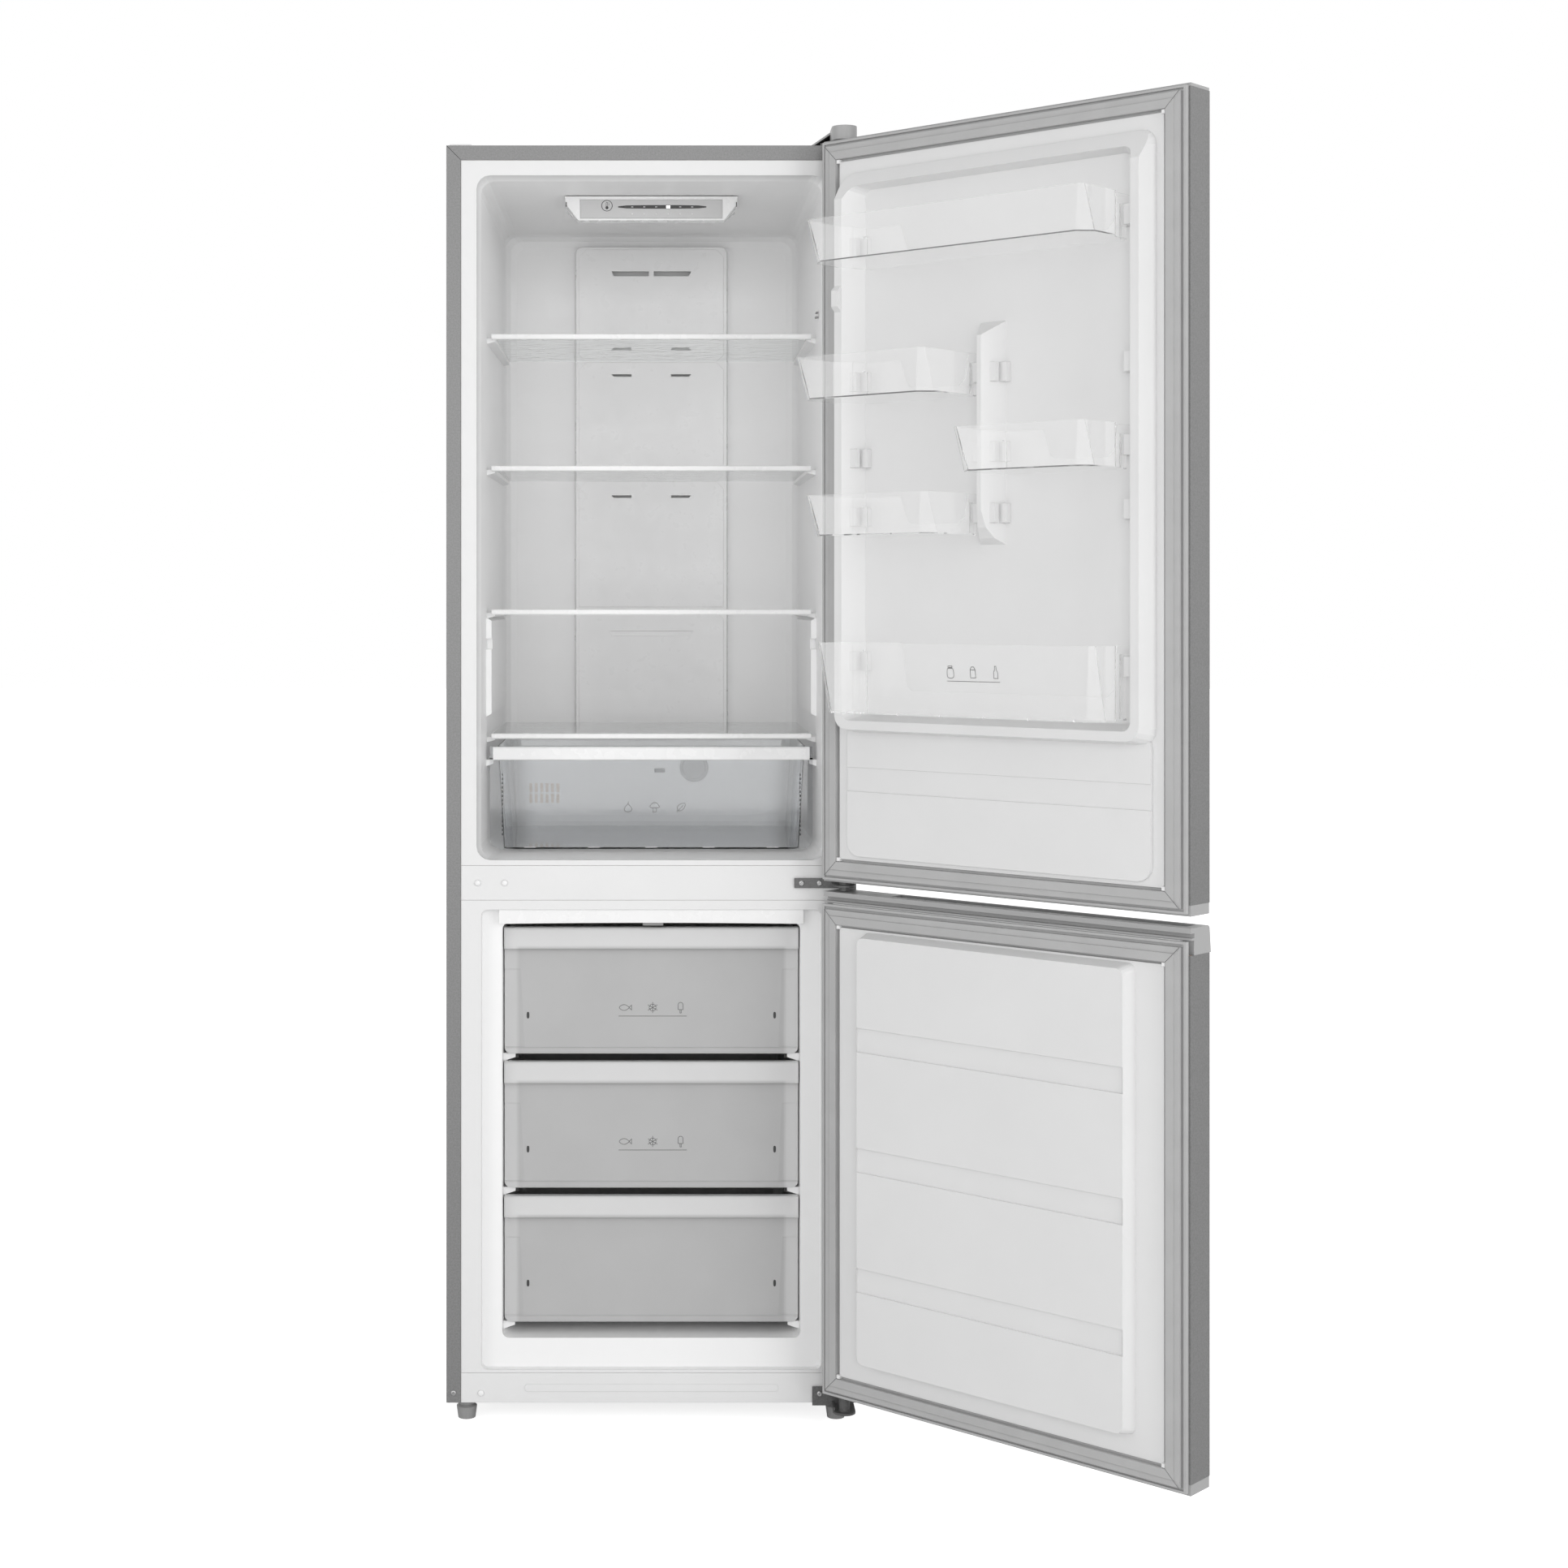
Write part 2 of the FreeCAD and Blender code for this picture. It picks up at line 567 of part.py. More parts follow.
def fridge_liner():
    """Moulded room with its front rim, shelf ledges, crisper rails, wall pads and return air grille."""
    rim = box(-RIM_HALF, RIM_HALF, RIM_FACE, RIM_FACE + LINER_WALL, MULLION_HIGH + SEAT_GAP,
              TOP_Z - FLANGE - SEAT_GAP)
    behind_rim = box(-HALF, HALF, RIM_FACE, CABINET_DEPTH, 0, TOP_Z)
    shell = fridge_cavity(LINER_WALL).common(behind_rim)
    liner = shell.fuse(rim).cut(fridge_cavity(0)).cut(group(return_grille()))
    front, back = SHELF_SETBACK + TRIM_DEPTH + SEAT_GAP, SHELF_BACK - 2 * LEDGE_REACH
    ledges = []
    for top in SHELF_TOPS + [COVER_TOP]:
        ledges += side_ledge(shelf_half() - LEDGE_REACH, FRIDGE_HALF, front, back, top - GLASS - SEAT_GAP,
                             LEDGE_HEIGHT)
    ledges += side_ledge(crisper_half() - LEDGE_REACH, FRIDGE_HALF, SHELF_SETBACK, back,
                         crisper_top() - CRISPER_STRIP, RUNNER_HEIGHT)
    ledges += wall_pads()
    full = fridge_cavity(LINER_WALL / 2).common(behind_rim)
    return liner.multiFuse([ledge.common(full) for ledge in ledges])


def wall_pads():
    """Raised fields on both side walls between the lowest shelf and the crisper's cover."""
    inner = fridge_half_at(SHELF_BACK) - WALL_PAD
    low, high = COVER_TOP + DRAWER_GRIP, SHELF_TOPS[0] - 2 * TRIM_HEIGHT
    lean = 2 * WALL_PAD
    profile = [(FRIDGE_HALF, SHELF_SETBACK, low - lean), (FRIDGE_HALF, SHELF_SETBACK, high + lean),
               (inner, SHELF_SETBACK, high), (inner, SHELF_SETBACK, low)]
    pad = prism(profile, (0, SHELF_DEPTH - CORNER_RADIUS, 0))
    middle = (low + 3 * high) / 4
    notch = box(0, HALF, 0, SHELF_SETBACK + CORNER_RADIUS, middle - lean, middle + lean)
    return both_sides(pad.cut(notch))


def return_grille():
    """Slots through the rear wall behind the crisper, at its left."""
    columns, rows = GRILLE
    left, low = -FRIDGE_HALF * 4 / 5, FRIDGE_FLOOR + 2 * CORNER_RADIUS
    slots = []
    for column in range(columns):
        for row in range(rows):
            x, z = left + column * GRILLE_PITCH, low + row * 2 * GRILLE_PITCH
            slots.append(box(x, x + GRILLE_SLOT, CAVITY_BACK - LINER_WALL, CAVITY_BACK + 2 * LINER_WALL,
                             z, z + 3 * GRILLE_SLOT))
    return slots


def freezer_liner():
    """Moulded room with its rim, the step at its mouth, the drawer runners and the hump."""
    rim = box(-RIM_HALF, RIM_HALF, RIM_FACE, RIM_FACE + LINER_WALL, KICK_TOP + SEAT_GAP,
              MULLION_LOW - SEAT_GAP)
    behind_rim = box(-HALF, HALF, RIM_FACE, CABINET_DEPTH, 0, TOP_Z)
    liner = freezer_cavity(LINER_WALL).common(behind_rim).fuse(rim).cut(freezer_cavity(0))
    start = DRAWER_SETBACK + DRAWER_GRIP_DEPTH + SEAT_GAP
    runners = []
    for low, depth in zip(drawer_lows(), drawer_depths()):
        back = DRAWER_SETBACK + depth
        runners += side_ledge(freezer_half_at(back) - RUNNER_REACH, FREEZER_HALF, start,
                              back - DRAWER_GRIP_DEPTH, low - SEAT_GAP, RUNNER_HEIGHT)
    full = freezer_cavity(LINER_WALL / 2)
    return liner.multiFuse([runner.common(full) for runner in runners])


def mullion_cover():
    """Flat cover of the divider's front."""
    return box(-RIM_HALF, RIM_HALF, RIM_FACE, RIM_FACE + LINER_WALL, MULLION_LOW, MULLION_HIGH)


def kick_panel():
    """Bottom front panel with its long embossed bar."""
    plate = box(-RIM_HALF, RIM_HALF, RIM_FACE, RIM_FACE + LINER_WALL, BASE_Z, KICK_TOP)
    height, proud = KICK_BAR
    low = BASE_Z + (KICK_HEIGHT - height) / 2
    bar = rounded_plate(RIM_HALF * 2 / 3, low, low + height, 0.49 * height, RIM_FACE - proud,
                        RIM_FACE + LINER_WALL / 2)
    return plate.fuse(bar).removeSplitter()


def freezer_top_trim():
    """Trim strip above the upper drawer, its lower edge slightly arched."""
    half = FREEZER_HALF + 4
    low, high = FREEZER_TOP, FREEZER_TOP + FREEZER_TRIM_HEIGHT - SEAT_GAP
    y0, y1 = FREEZER_STEP_DEPTH - 12, FREEZER_STEP_DEPTH - 0.1
    edges = [
        Part.LineSegment(Vector(-half, y0, low), Vector(-half, y0, high)),
        Part.LineSegment(Vector(-half, y0, high), Vector(half, y0, high)),
        Part.LineSegment(Vector(half, y0, high), Vector(half, y0, low)),
        Part.Arc(Vector(half, y0, low), Vector(0, y0, low + 1.6), Vector(-half, y0, low)),
    ]
    return Part.Face(Part.Wire([edge.toShape() for edge in edges])).extrude(Vector(0, y1 - y0, 0))


# ------------------------------------------------------------------ hinges
def pin_column(z0, z1):
    return rod(PIN_RADIUS, (HINGE_X, HINGE_Y, z0), z1 - z0, (0, 0, 1))


def hinge_arm(z0, back):
    """Flat arm that reaches forward to the pin and ends in a round eye."""
    plate = box(HINGE_X - HINGE_ARM, HINGE_X + HINGE_ARM, HINGE_Y, back, z0, z0 + HINGE_PLATE)
    eye = rod(HINGE_ARM, (HINGE_X, HINGE_Y, z0), HINGE_PLATE, (0, 0, 1))
    return plate.fuse(eye)


def top_hinge():
    """Plate on the cabinet's top with the upper door's top pin."""
    low = TOP_Z + LAID_GAP
    foot = box(HINGE_X - 2 * HINGE_ARM, HINGE_X + HINGE_ARM, 0, HINGE_FOOT, low, low + HINGE_PLATE)
    pin = pin_column(UPPER_HIGH - PIN_ENGAGEMENT, low + HINGE_PLATE)
    return fuse([hinge_arm(low, 0), foot, pin])


def hinge_cover_form(inset):
    """Form of the top hinge's cover, or of the room in it."""
    low = TOP_Z + LAID_GAP
    high = low + HINGE_COVER_HEIGHT - inset
    left, right = HINGE_X - HINGE_COVER_REACH + 2 * inset, HALF - RIM_FACE - inset
    back, radius = HINGE_FOOT + HINGE_COVER_WALL - inset, HINGE_ARM + HINGE_COVER_WALL - inset
    slope = [(left, low), (HINGE_X - HINGE_ARM + inset, high), (right, high), (right, low)]
    body = prism([(x, back, z) for x, z in slope], (0, -back, 0))
    nose = rod(radius, (HINGE_X, HINGE_Y, low), high - low, (0, 0, 1))
    bridge = box(HINGE_X - radius, HINGE_X + radius, HINGE_Y, inset, low, high)
    return fuse([body, nose, bridge])


def top_hinge_cover():
    """Moulded cover: round over the pin, sloping down to the cabinet's middle."""
    return hinge_cover_form(0).cut(hinge_cover_form(HINGE_COVER_WALL))


def middle_hinge():
    """Angle bracket on the divider with a pin up into one door and down into the other."""
    margin = 2 * SKIN_GAP
    plate = box(HINGE_X - MIDDLE_BRACKET, HINGE_X + HINGE_ARM, -HINGE_PLATE, -LAID_GAP,
                LOWER_HIGH + margin, UPPER_LOW - margin)
    arm = hinge_arm(GAP_MID - HINGE_PLATE / 2, -HINGE_PLATE / 2)
    pin = pin_column(LOWER_HIGH - PIN_ENGAGEMENT, UPPER_LOW + PIN_ENGAGEMENT)
    washers = rod(PIN_RADIUS + HINGE_WASHER, (HINGE_X, HINGE_Y, LOWER_HIGH + SEAT_GAP),
                  DOOR_GAP - 2 * SEAT_GAP, (0, 0, 1))
    return fuse([plate, arm, pin, washers])


def bottom_hinge():
    """Angle bracket under the lower door: upright plate, dished arm, boss and pin."""
    low = BASE_Z - HINGE_PLATE
    upright = box(HINGE_X - BOTTOM_BRACKET, HINGE_X + HINGE_ARM, -HINGE_PLATE, -LAID_GAP,
                  low, BASE_Z + BRACKET_HEIGHT)
    rim = box(HINGE_X - HINGE_ARM, HINGE_X - HINGE_ARM + HINGE_PLATE, HINGE_Y, -HINGE_PLATE / 2,
              low, low + BRACKET_RIM)
    boss = rod(PIN_RADIUS + HINGE_WASHER, (HINGE_X, HINGE_Y, low), LOWER_LOW - SEAT_GAP - low, (0, 0, 1))
    pin = pin_column(low, LOWER_LOW + PIN_ENGAGEMENT)
    return fuse([upright, hinge_arm(low, -HINGE_PLATE / 2), rim, boss, pin])


def cabinet_screws():
    """Heads of the hinge brackets' screws and of the shell's foot screw."""
    low, last = BASE_Z + BRACKET_SCREW_Z, HINGE_X - MIDDLE_BRACKET + FLANGE / 2
    places = [(last, -HINGE_PLATE, GAP_MID), (last + SCREW_PITCH, -HINGE_PLATE, GAP_MID),
              (last + SCREW_PITCH, -HINGE_PLATE, low), (FLANGE / 2 - HALF, 0, low)]
    return group(rod(SCREW_HEAD_RADIUS, place, SCREW_HEAD_HEIGHT, (0, -1, 0)) for place in places)


def blanking_plugs():
    """Plugs in the unused hinge holes and the lid over the unused top hinge place."""
    left = FLANGE + PLUG_RADIUS - HINGE_X
    places = [(left, GAP_MID), (left + PLUG_PITCH, GAP_MID), (left + PLUG_RADIUS, BASE_Z + BRACKET_SCREW_Z)]
    plugs = [rod(PLUG_RADIUS, (x, RIM_FACE, z), PLUG_HEIGHT, (0, -1, 0)) for x, z in places]
    lid = box(-HINGE_X - HINGE_ARM, -HINGE_X + HINGE_ARM, 2 * HINGE_PLATE, HINGE_FOOT,
              TOP_Z, TOP_Z + HINGE_PLATE)
    upper = [edge for edge in lid.Edges if edge.BoundBox.ZMin > TOP_Z + LAID_GAP]
    return group(plugs + [lid.makeChamfer(HINGE_PLATE / 3, upper)])


# ------------------------------------------------------------------ fridge fittings
def shelf_half():
    return fridge_half_at(SHELF_BACK) - SHELF_SIDE_GAP


def shelf_glass(top):
    """Glass plate with rounded rear corners; its trim covers the front edge."""
    half = shelf_half()
    plate = box(-half, half, SHELF_SETBACK + TRIM_DEPTH / 2, SHELF_BACK, top - GLASS, top)
    upright = [edge for edge in plate.Edges if edge.BoundBox.ZLength > GLASS / 2]
    rear = [edge for edge in upright if edge.BoundBox.YMin > SHELF_SETBACK + TRIM_DEPTH]
    return plate.makeFillet(CORNER_RADIUS / 2, rear)


def shelf_trim(top):
    """Front trim: a channel that grips the glass, with a lip below."""
    half = shelf_half()
    y0, y1 = SHELF_SETBACK, SHELF_SETBACK + TRIM_DEPTH
    low = top + 1 - TRIM_HEIGHT
    profile = [(-half, y0 + 1, low), (-half, y0, low + 1.5), (-half, y0, top), (-half, y0 + 1, top + 1),
               (-half, y1, top + 1), (-half, y1, low + 1.5), (-half, y1 - 3, low)]
    glass = box(-half - 1, half + 1, SHELF_SETBACK + TRIM_DEPTH / 2, y1 + 1, top - GLASS, top)
    return prism(profile, (2 * half, 0, 0)).cut(glass)


def crisper_half():
    return shelf_half() + 2


def crisper_top():
    return COVER_TOP - TRIM_HEIGHT - CRISPER_TOP_GAP


def crisper_low():
    return crisper_top() - CRISPER_HEIGHT


def crisper_cover():
    """Glass cover of the crisper."""
    return shelf_glass(COVER_TOP)


def open_tub(low, high, half, y0, y1, radius):
    """Drawer tub: sides and rear wall lean out to the top, open above."""
    def form(inset, top):
        rings = []
        for z in (low + inset, top):
            narrow = DRAWER_TAPER * (high - z) / (high - low) + inset
            rings.append([(x, y, z) for x, y in rounded_path(half - narrow, y0 + inset, y1 - narrow,
                                                             radius - inset)])
        return skinned(rings)
    return form(0, high).cut(form(DRAWER_WALL, high + PAST))


def crisper_drawer():
    """Clear crisper tub with flanges that run on the liner's rails and a bordered front."""
    half, low, high = crisper_half(), crisper_low(), crisper_top()
    back = SHELF_BACK - 2 * LEDGE_REACH
    tub_half = half - 2 * LEDGE_REACH - SEAT_GAP
    corner = 0.8 * CORNER_RADIUS
    tub = open_tub(low, high, tub_half, SHELF_SETBACK, back, corner)
    rail_z = high - CRISPER_STRIP + SEAT_GAP
    flanges = both_sides(box(tub_half - DRAWER_WALL, half, SHELF_SETBACK, back - CORNER_RADIUS, rail_z,
                             rail_z + DRAWER_WALL))
    face = SHELF_SETBACK - DRAWER_FRONT
    front = rounded_plate(half, low, high + CORNER_RADIUS, corner, face, SHELF_SETBACK)
    field = rounded_plate(half - CRISPER_BORDER, low + 1.5 * CRISPER_BORDER, high + CORNER_RADIUS, corner,
                          face - 1, face + DRAWER_FRONT / 3)
    above = box(-half - 1, half + 1, face - 1, SHELF_SETBACK + 1, high, high + 2 * CORNER_RADIUS)
    return fuse([tub, front.cut(field).cut(above)] + flanges)


def crisper_handle():
    """White strip across the crisper's front, with a finger lip behind it."""
    half = crisper_half() - CRISPER_BORDER / 2
    high = crisper_top() - SEAT_GAP
    low = high - CRISPER_STRIP
    back = SHELF_SETBACK - DRAWER_FRONT - LAID_GAP
    front, wall = back - STRIP_DEPTH, STRIP_DEPTH / 4
    section = [(back, low), (back, high), (front + wall, high), (front, high - wall), (front, low + 1),
               (front + wall, low + 1), (back - 2 * wall, low + 2 * wall), (back - wall, low + 2 * wall),
               (back - wall, low)]
    return prism([(-half, y, z) for y, z in section], (2 * half, 0, 0))


def duct_cover():
    """Air duct cover on the rear wall: a shallow lid with raised sections, air slots and a blind groove."""
    half = DUCT_WIDTH / 2
    back = CAVITY_BACK - SEAT_GAP
    front = back - DUCT_THICKNESS
    low, high = COVER_TOP - 2 * CRISPER_TOP_GAP, FRIDGE_TOP - DUCT_TOP_GAP

    def form(inset):
        return drafted([(half - 3 - inset, low + inset, high - inset, CORNER_RADIUS / 2, front + inset),
                        (half - inset, low + inset, high - inset, CORNER_RADIUS / 2, back + inset)])
    lid = form(0).multiFuse(duct_sections(low, high, front)).cut(form(DUCT_WALL))
    slope = VENT_HEIGHT / 2
    cuts = []
    for index, vent in enumerate(duct_vents()):
        rise = slope if index == 0 else slope / 2
        inner = 2 * slope - rise if index == 0 else VENT_HALF / 2
        slot = [(inner, front - 2, vent - rise), (inner, front - 2, vent + rise),
                (VENT_HALF, front - 2, vent + rise), (VENT_HALF - slope, front - 2, vent - rise)]
        cuts += both_sides(prism(slot, (0, DUCT_WALL + 3, 0)))
    blind = SHELF_TOPS[0] - 10 * GLASS
    wide = VENT_HALF + slope
    groove = [(-wide, front - 2, blind + slope), (wide, front - 2, blind + slope),
              (wide - slope, front - 2, blind - slope), (slope - wide, front - 2, blind - slope)]
    cuts.append(prism(groove, (0, 2.5, 0)))
    return lid.cut(group(cuts))


def duct_sections(low, high, front):
    """Raised fields between the shelf levels, their upper corners cut."""
    margin = 2 * DUCT_WALL
    half, cut = DUCT_WIDTH / 2 - 2 * margin, 3 * margin
    fields = []
    for z0, z1 in zip([low] + SHELF_TOPS, SHELF_TOPS + [high]):
        z0, z1 = z0 + margin, z1 - margin
        corners = [(-half, z0), (half, z0), (half, z1 - cut), (half - cut, z1), (cut - half, z1),
                   (-half, z1 - cut)]
        fields.append(prism([(x, front - 1, z) for x, z in corners], (0, 1.5, 0)))
    return fields


def duct_vents():
    """Heights of the air outlets: one near the top, one under each upper shelf."""
    return [FRIDGE_TOP - DUCT_TOP_GAP - 44, SHELF_TOPS[2] - 26, SHELF_TOPS[1] - 29]


def panel_top():
    return FRIDGE_TOP - MOUTH_FALL - WALL_DRAFT / 2


def panel_depth(z):
    """Depth of the panel's leaning front at a height."""
    return PANEL_SETBACK + (panel_top() - z) * PANEL_LEAN


def control_housing():
    """Ceiling panel housing: winged leaning front, underside rising to the back."""
    high = panel_top()
    low = high - PANEL_HEIGHT
    half, low_half = PANEL_WIDTH / 2, WINDOW_WIDTH / 2 + PANEL_FRAME
    wing, tip = high - PANEL_HEIGHT / 3, half - WINDOW_THICKNESS
    back = PANEL_SETBACK + PANEL_DEPTH
    outer = [(-half, high), (half, high), (tip, wing), (low_half, low), (-low_half, low), (-tip, wing)]
    body = prism([(x, PANEL_SETBACK, z) for x, z in outer], (0, PANEL_DEPTH, 0))
    front = prism([(-HALF, PANEL_SETBACK - 1, high), (-HALF, PANEL_SETBACK, high),
                   (-HALF, panel_depth(low - 1), low - 1), (-HALF, PANEL_SETBACK - 1, low - 1)],
                  (CABINET_WIDTH, 0, 0))
    under = prism([(-HALF, PANEL_SETBACK + PANEL_DEPTH / 3, low), (-HALF, back + 1, wing),
                   (-HALF, back + 1, low - 1), (-HALF, PANEL_SETBACK + PANEL_DEPTH / 3, low - 1)],
                  (CABINET_WIDTH, 0, 0))
    return body.cut(front).cut(under).cut(window_block(SKIN_GAP, 1.0))


def window_block(grow, forward):
    """Block of the window, let into the leaning front of the housing."""
    z0 = panel_top() - PANEL_HEIGHT + PANEL_FRAME - grow
    z1 = z0 + WINDOW_HEIGHT + 2 * grow
    half = WINDOW_WIDTH / 2 + grow
    behind = WINDOW_THICKNESS + grow
    points = [(-half, panel_depth(z0) - forward, z0), (-half, panel_depth(z1) - forward, z1),
              (-half, panel_depth(z1) + behind, z1), (-half, panel_depth(z0) + behind, z0)]
    return prism(points, (2 * half, 0, 0))


def control_window():
    return window_block(0, PANEL_PROUD)


# ------------------------------------------------------------------ freezer fittings
def drawer_lows():
    """Undersides of the drawers, lowest first."""
    first = FREEZER_FLOOR + DRAWER_GAP + RUNNER_HEIGHT
    pitch = (FREEZER_TOP - DRAWER_GAP + 2 - first + DRAWER_GAP) / 3
    return [first + index * pitch for index in range(3)]


def drawer_height():
    lows = drawer_lows()
    return lows[1] - lows[0] - DRAWER_GAP


def drawer_depths():
    return [LOWER_DRAWER_DEPTH, DRAWER_DEPTH, DRAWER_DEPTH]


def freezer_drawer(index):
    """Clear drawer: a front with its grip, step and foot lip, and a tub with a slotted floor."""
    low, depth = drawer_lows()[index], drawer_depths()[index]
    high = low + drawer_height()
    half = FREEZER_HALF - DRAWER_SIDE_GAP
    tub_half = freezer_half_at(DRAWER_SETBACK + depth) - DRAWER_TUB_GAP
    y0 = DRAWER_SETBACK
    back = y0 + DRAWER_GRIP_DEPTH
    face = back - DRAWER_FRONT
    tub = open_tub(low, high - DRAWER_FRONT, tub_half, face, y0 + depth, 0.8 * CORNER_RADIUS)
    lip, foot = DRAWER_FRONT / 2, low + DRAWER_LIP
    step = high - DRAWER_STEP
    section = [(back, low), (face - lip, low), (face - lip, foot), (face + DRAWER_STEP_DEPTH, foot + lip),
               (face + DRAWER_STEP_DEPTH, step), (face, step), (face, high - DRAWER_FRONT),
               (y0 + lip, high - DRAWER_FRONT), (y0 + lip, high - DRAWER_GRIP), (y0, high - DRAWER_GRIP),
               (y0, high - lip), (y0 + lip, high), (back, high)]
    front = prism([(-half, y, z) for y, z in section], (2 * half, 0, 0))
    rounded = rounded_plate(half, low, high + CORNER_RADIUS, CORNER_RADIUS / 2, y0 - PAST, back + PAST)
    end = box(half - DRAWER_WALL, half, y0 + lip, face, high - DRAWER_GRIP, high - DRAWER_FRONT)
    drawer = fuse([tub, front.common(rounded)] + both_sides(end))
    return drawer.cut(group(floor_slots(low, y0 + 0.6 * depth)))


def floor_slots(low, y):
    """Four slots in line across a drawer's floor."""
    length, width = FLOOR_SLOT
    return [box(x - length / 2, x + length / 2, y, y + width, low - 1, low + 2 * DRAWER_WALL)
            for x in [(place - 1.5) * FLOOR_SLOT_PITCH for place in range(4)]]


def evaporator_cover():
    """Rear panel of the freezer with the fan ring, its guard and air slots."""
    half = FREEZER_HALF
    y0, y1 = EVAPORATOR_COVER_Y - EVAPORATOR_COVER_WALL, EVAPORATOR_COVER_Y
    low = HUMP_TOP + SEAT_GAP
    plate = box(-half, half, y0, y1, low, FREEZER_TOP).common(freezer_cavity(-SEAT_GAP))
    ring_radius = FAN_RADIUS + FAN_CLEARANCE
    ring = disc(ring_radius + FAN_RING_WALL, y0, FAN_Z, FAN_RING_DEPTH)
    plate = plate.fuse(ring).cut(disc(ring_radius, y0 - PAST, FAN_Z, 2 * FAN_RING_DEPTH))
    middle, bar = ring_radius / 2, GUARD_BAR / 2
    bars = [disc(middle + bar, y0, FAN_Z, FAN_RING_WALL).cut(
        disc(middle - bar, y0 - PAST, FAN_Z, 2 * FAN_RING_WALL))]
    for turn in range(4):
        spoke = box(0, ring_radius + FAN_RING_WALL / 2, y0, y0 + FAN_RING_WALL, FAN_Z - bar, FAN_Z + bar)
        spoke.rotate(Vector(0, 0, FAN_Z), Vector(0, 1, 0), 90 * turn)
        bars.append(spoke)
    slots = []
    for row in range(EVAPORATOR_SLOTS):
        z = low + GRILLE_PITCH * (row + 1.5)
        slots.append(box(-half * 0.7, half * 0.7, y0 - PAST, y1 + PAST, z, z + 0.8 * GRILLE_SLOT))
    return plate.cut(group(slots)).multiFuse(bars).removeSplitter()


def evaporator():
    """Finned coil: a looped tube through a stack of fins, resting on the liner's rear wall."""
    half = FREEZER_HALF - EVAPORATOR_INSET
    y0, y1 = EVAPORATOR_COVER_Y + 4 * EVAPORATOR_TUBE, CAVITY_BACK - EVAPORATOR_TUBE
    low, high = HUMP_TOP + 2 * EVAPORATOR_TUBE, FAN_Z - 2 * FAN_RADIUS
    gap = 2 * half / (EVAPORATOR_FINS - 1)
    fins = [box(index * gap - half - SHEET / 2, index * gap - half + SHEET / 2, y0, y1, low, high)
            for index in range(EVAPORATOR_FINS)]
    middle, end = (y0 + y1) / 2, half + 2 * EVAPORATOR_TUBE
    lower, upper = (3 * low + high) / 4, (low + 3 * high) / 4
    stops = [(-end, middle, lower), (end, middle, lower), (end, middle, upper), (-end, middle, upper)]
    tube = pipe_run(stops, EVAPORATOR_TUBE)
    rest = box(half - EVAPORATOR_TUBE / 2, half + SHEET / 2, y1 - 1, CAVITY_BACK - SEAT_GAP,
               low + EVAPORATOR_TUBE, low + 3 * EVAPORATOR_TUBE)
    return fins[0].multiFuse(fins[1:] + [tube] + both_sides(rest))


def fan_motor():
    """Motor behind the fan, on three arms that reach the ring."""
    face, arm = fan_seat(), 2 * FAN_SHAFT_RADIUS
    can = disc(MOTOR_RADIUS, face, FAN_Z, MOTOR_LENGTH)
    arms = []
    for turn in range(3):
        beam = box(0, FAN_RADIUS + FAN_CLEARANCE + FAN_RING_WALL, face + SEAT_GAP, face + arm,
                   FAN_Z - arm, FAN_Z + arm)
        beam.rotate(Vector(0, 0, FAN_Z), Vector(0, 1, 0), 120 * turn + 90)
        arms.append(beam)
    reach = FAN_HUB_DEPTH + 2 * FAN_CLEARANCE
    shaft = rod(FAN_SHAFT_RADIUS, (0, face - reach, FAN_Z), reach + PAST, (0, 1, 0))
    return fuse([can, shaft] + arms)


def fan_seat():
    """Depth of the motor's front, at the rear edge of the fan ring."""
    return EVAPORATOR_COVER_Y - EVAPORATOR_COVER_WALL + FAN_RING_DEPTH


def fan_blade():
    """Axial fan: a hub and pitched blades, on the motor's shaft."""
    back = fan_seat() - FAN_CLEARANCE
    front = back - FAN_HUB_DEPTH
    middle, root, thick = (back + front) / 2, FAN_HUB_RADIUS - 2, FAN_RING_WALL
    plan = [(root, -0.5 * root), (0.9 * FAN_RADIUS, -0.3 * FAN_RADIUS), (0.94 * FAN_RADIUS, 0),
            (0.86 * FAN_RADIUS, 0.3 * FAN_RADIUS), (root, 0.6 * root)]
    blades = []
    for index in range(FAN_BLADES):
        blade = prism([(x, middle - thick / 2, z) for x, z in plan], (0, thick, 0))
        blade.rotate(Vector(0, middle, 0), Vector(1, 0, 0), FAN_PITCH)
        blade.rotate(Vector(0, 0, 0), Vector(0, 1, 0), 360 * index / FAN_BLADES)
        blade.translate(Vector(0, 0, FAN_Z))
        blades.append(blade)
    bore = rod(FAN_SHAFT_RADIUS + PIN_CLEARANCE, (0, front - PAST, FAN_Z), FAN_HUB_DEPTH + 2 * PAST,
               (0, 1, 0))
    return fuse([disc(FAN_HUB_RADIUS, front, FAN_Z, FAN_HUB_DEPTH)] + blades).cut(bore)


# ------------------------------------------------------------------ machine compartment
def compressor_place():
    return -HALF / 3, MACHINE_FRONT + MACHINE_DEPTH / 2 - 4, BASE_Z + BASE_SHEET


def grommet_spots():
    x, y, _ = compressor_place()
    across, along = GROMMET_SPAN
    return [(x + dx, y + dy) for dx in (-across, across) for dy in (-along, along)]


